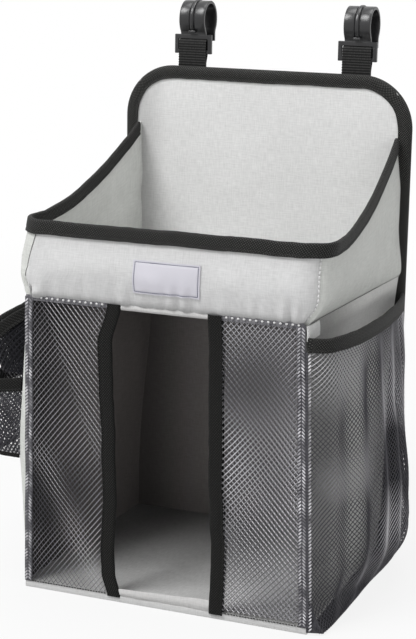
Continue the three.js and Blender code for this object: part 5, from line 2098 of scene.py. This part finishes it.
def hook_path():
    """Stations of the band from the neck's foot over the ring to the tail's foot: the place of
    the wall's middle, its outward direction, and how much of the rib shows."""
    middle = RING_R - HOOK_WALL / 2
    neck_angle = math.pi + math.acos(RING_FORWARD / middle)
    tail_angle = -math.acos(TAIL_BACK / middle)
    foot = FRAME_HEAD_Z - 1.5
    top = RING_Z + middle * math.sin(neck_angle) - 1.6
    bottom = RING_Z + middle * math.sin(tail_angle) - 1.6
    stations = [(RING_Y - RING_FORWARD, lerp(foot, top, i / 3), math.pi, 0.0) for i in range(4)]
    count = 52
    for i in range(count + 1):
        angle = lerp(neck_angle - 0.09, tail_angle + 0.09, i / count)
        below, behind = math.degrees(angle - math.pi), math.degrees(-angle)
        shown = clamp((RIB_ENDS[0] - below) / 3) * clamp((RIB_ENDS[1] - behind) / 6)
        stations.append((RING_Y + middle * math.cos(angle), RING_Z + middle * math.sin(angle), angle, shown))
    return stations + [(RING_Y + TAIL_BACK, lerp(bottom, TAIL_FOOT_Z, i / 5), 0.0, 0.0) for i in range(6)]


# %% Build the hooks
SELECT_ALL = (bpy.ops.mesh.select_all, {"action": "SELECT"})
FACE_OUT = (bpy.ops.mesh.normals_make_consistent, {"inside": False})


def hook_band(name, middle_x):
    section = hook_section()
    path = hook_path()
    around, along = len(section), len(path) - 1
    add = bpy.ops.mesh.primitive_grid_add
    band = new_piece(add, name, x_subdivisions=around, y_subdivisions=along, size=1)
    for vertex in band.data.vertices:
        across, through, mark = section[round((vertex.co.x + 0.5) * around) % around]
        y, z, angle, shown = path[round((vertex.co.y + 0.5) * along)]
        out = through - HOOK_WALL / 2 + mark * shown
        vertex.co = Vector((middle_x + across, y + out * math.cos(angle), z + out * math.sin(angle))) * MM
    edit(band, [
        (bpy.ops.mesh.remove_doubles, {"threshold": 0.01 * MM}), (bpy.ops.mesh.fill_holes, {"sides": 0}),
        SELECT_ALL, FACE_OUT,
    ])
    return band


def slot_frame(name, middle_x):
    centre = (middle_x, BAR_Y, (FRAME_FOOT_Z + FRAME_HEAD_Z) / 2)
    plate = new_box(name, centre, (FRAME_WIDTH, FRAME_DEPTH, FRAME_HEIGHT))
    edit(plate, [
        (bpy.ops.mesh.inset, {"thickness": FRAME_BAR * MM, "use_individual": True}),
        (bpy.ops.mesh.bridge_edge_loops, {}), SELECT_ALL, FACE_OUT,
    ], wanted=lambda face: abs(face.normal.y) > 0.9)
    slot_head = (FRAME_HEAD_Z - FRAME_BAR) * MM
    for vertex in plate.data.vertices:
        if abs(vertex.co.z - slot_head) < 0.1 * MM:
            vertex.co.z -= FRAME_ROUNDING * MM
    apply_modifier(plate, "BEVEL", width=FRAME_ROUNDING * MM, segments=2, limit_method="ANGLE")
    return plate


def rib_tab(name, middle_x):
    """The small tab in which the rib ends, over the neck."""
    tab = new_box(name, (middle_x, RING_Y - TAB_FORWARD, RING_Z - TAB_DOWN), TAB_SIZE)
    apply_modifier(tab, "BEVEL", width=0.8 * MM, segments=3, limit_method="ANGLE")
    return tab


for name, middle_x in STRAP_X.items():
    band = hook_band(f"{name}_hook_moulding", middle_x)
    parts = [slot_frame(f"{name}_frame", middle_x), rib_tab(f"{name}_tab", middle_x)]
    only(band)
    for part in parts:
        part.select_set(True)
    bpy.ops.object.join()
    smooth(band, 35)
    settle(band, PLASTIC, "hook_plastic", [f"{name}_hook"], f"{name}_rail_hook")
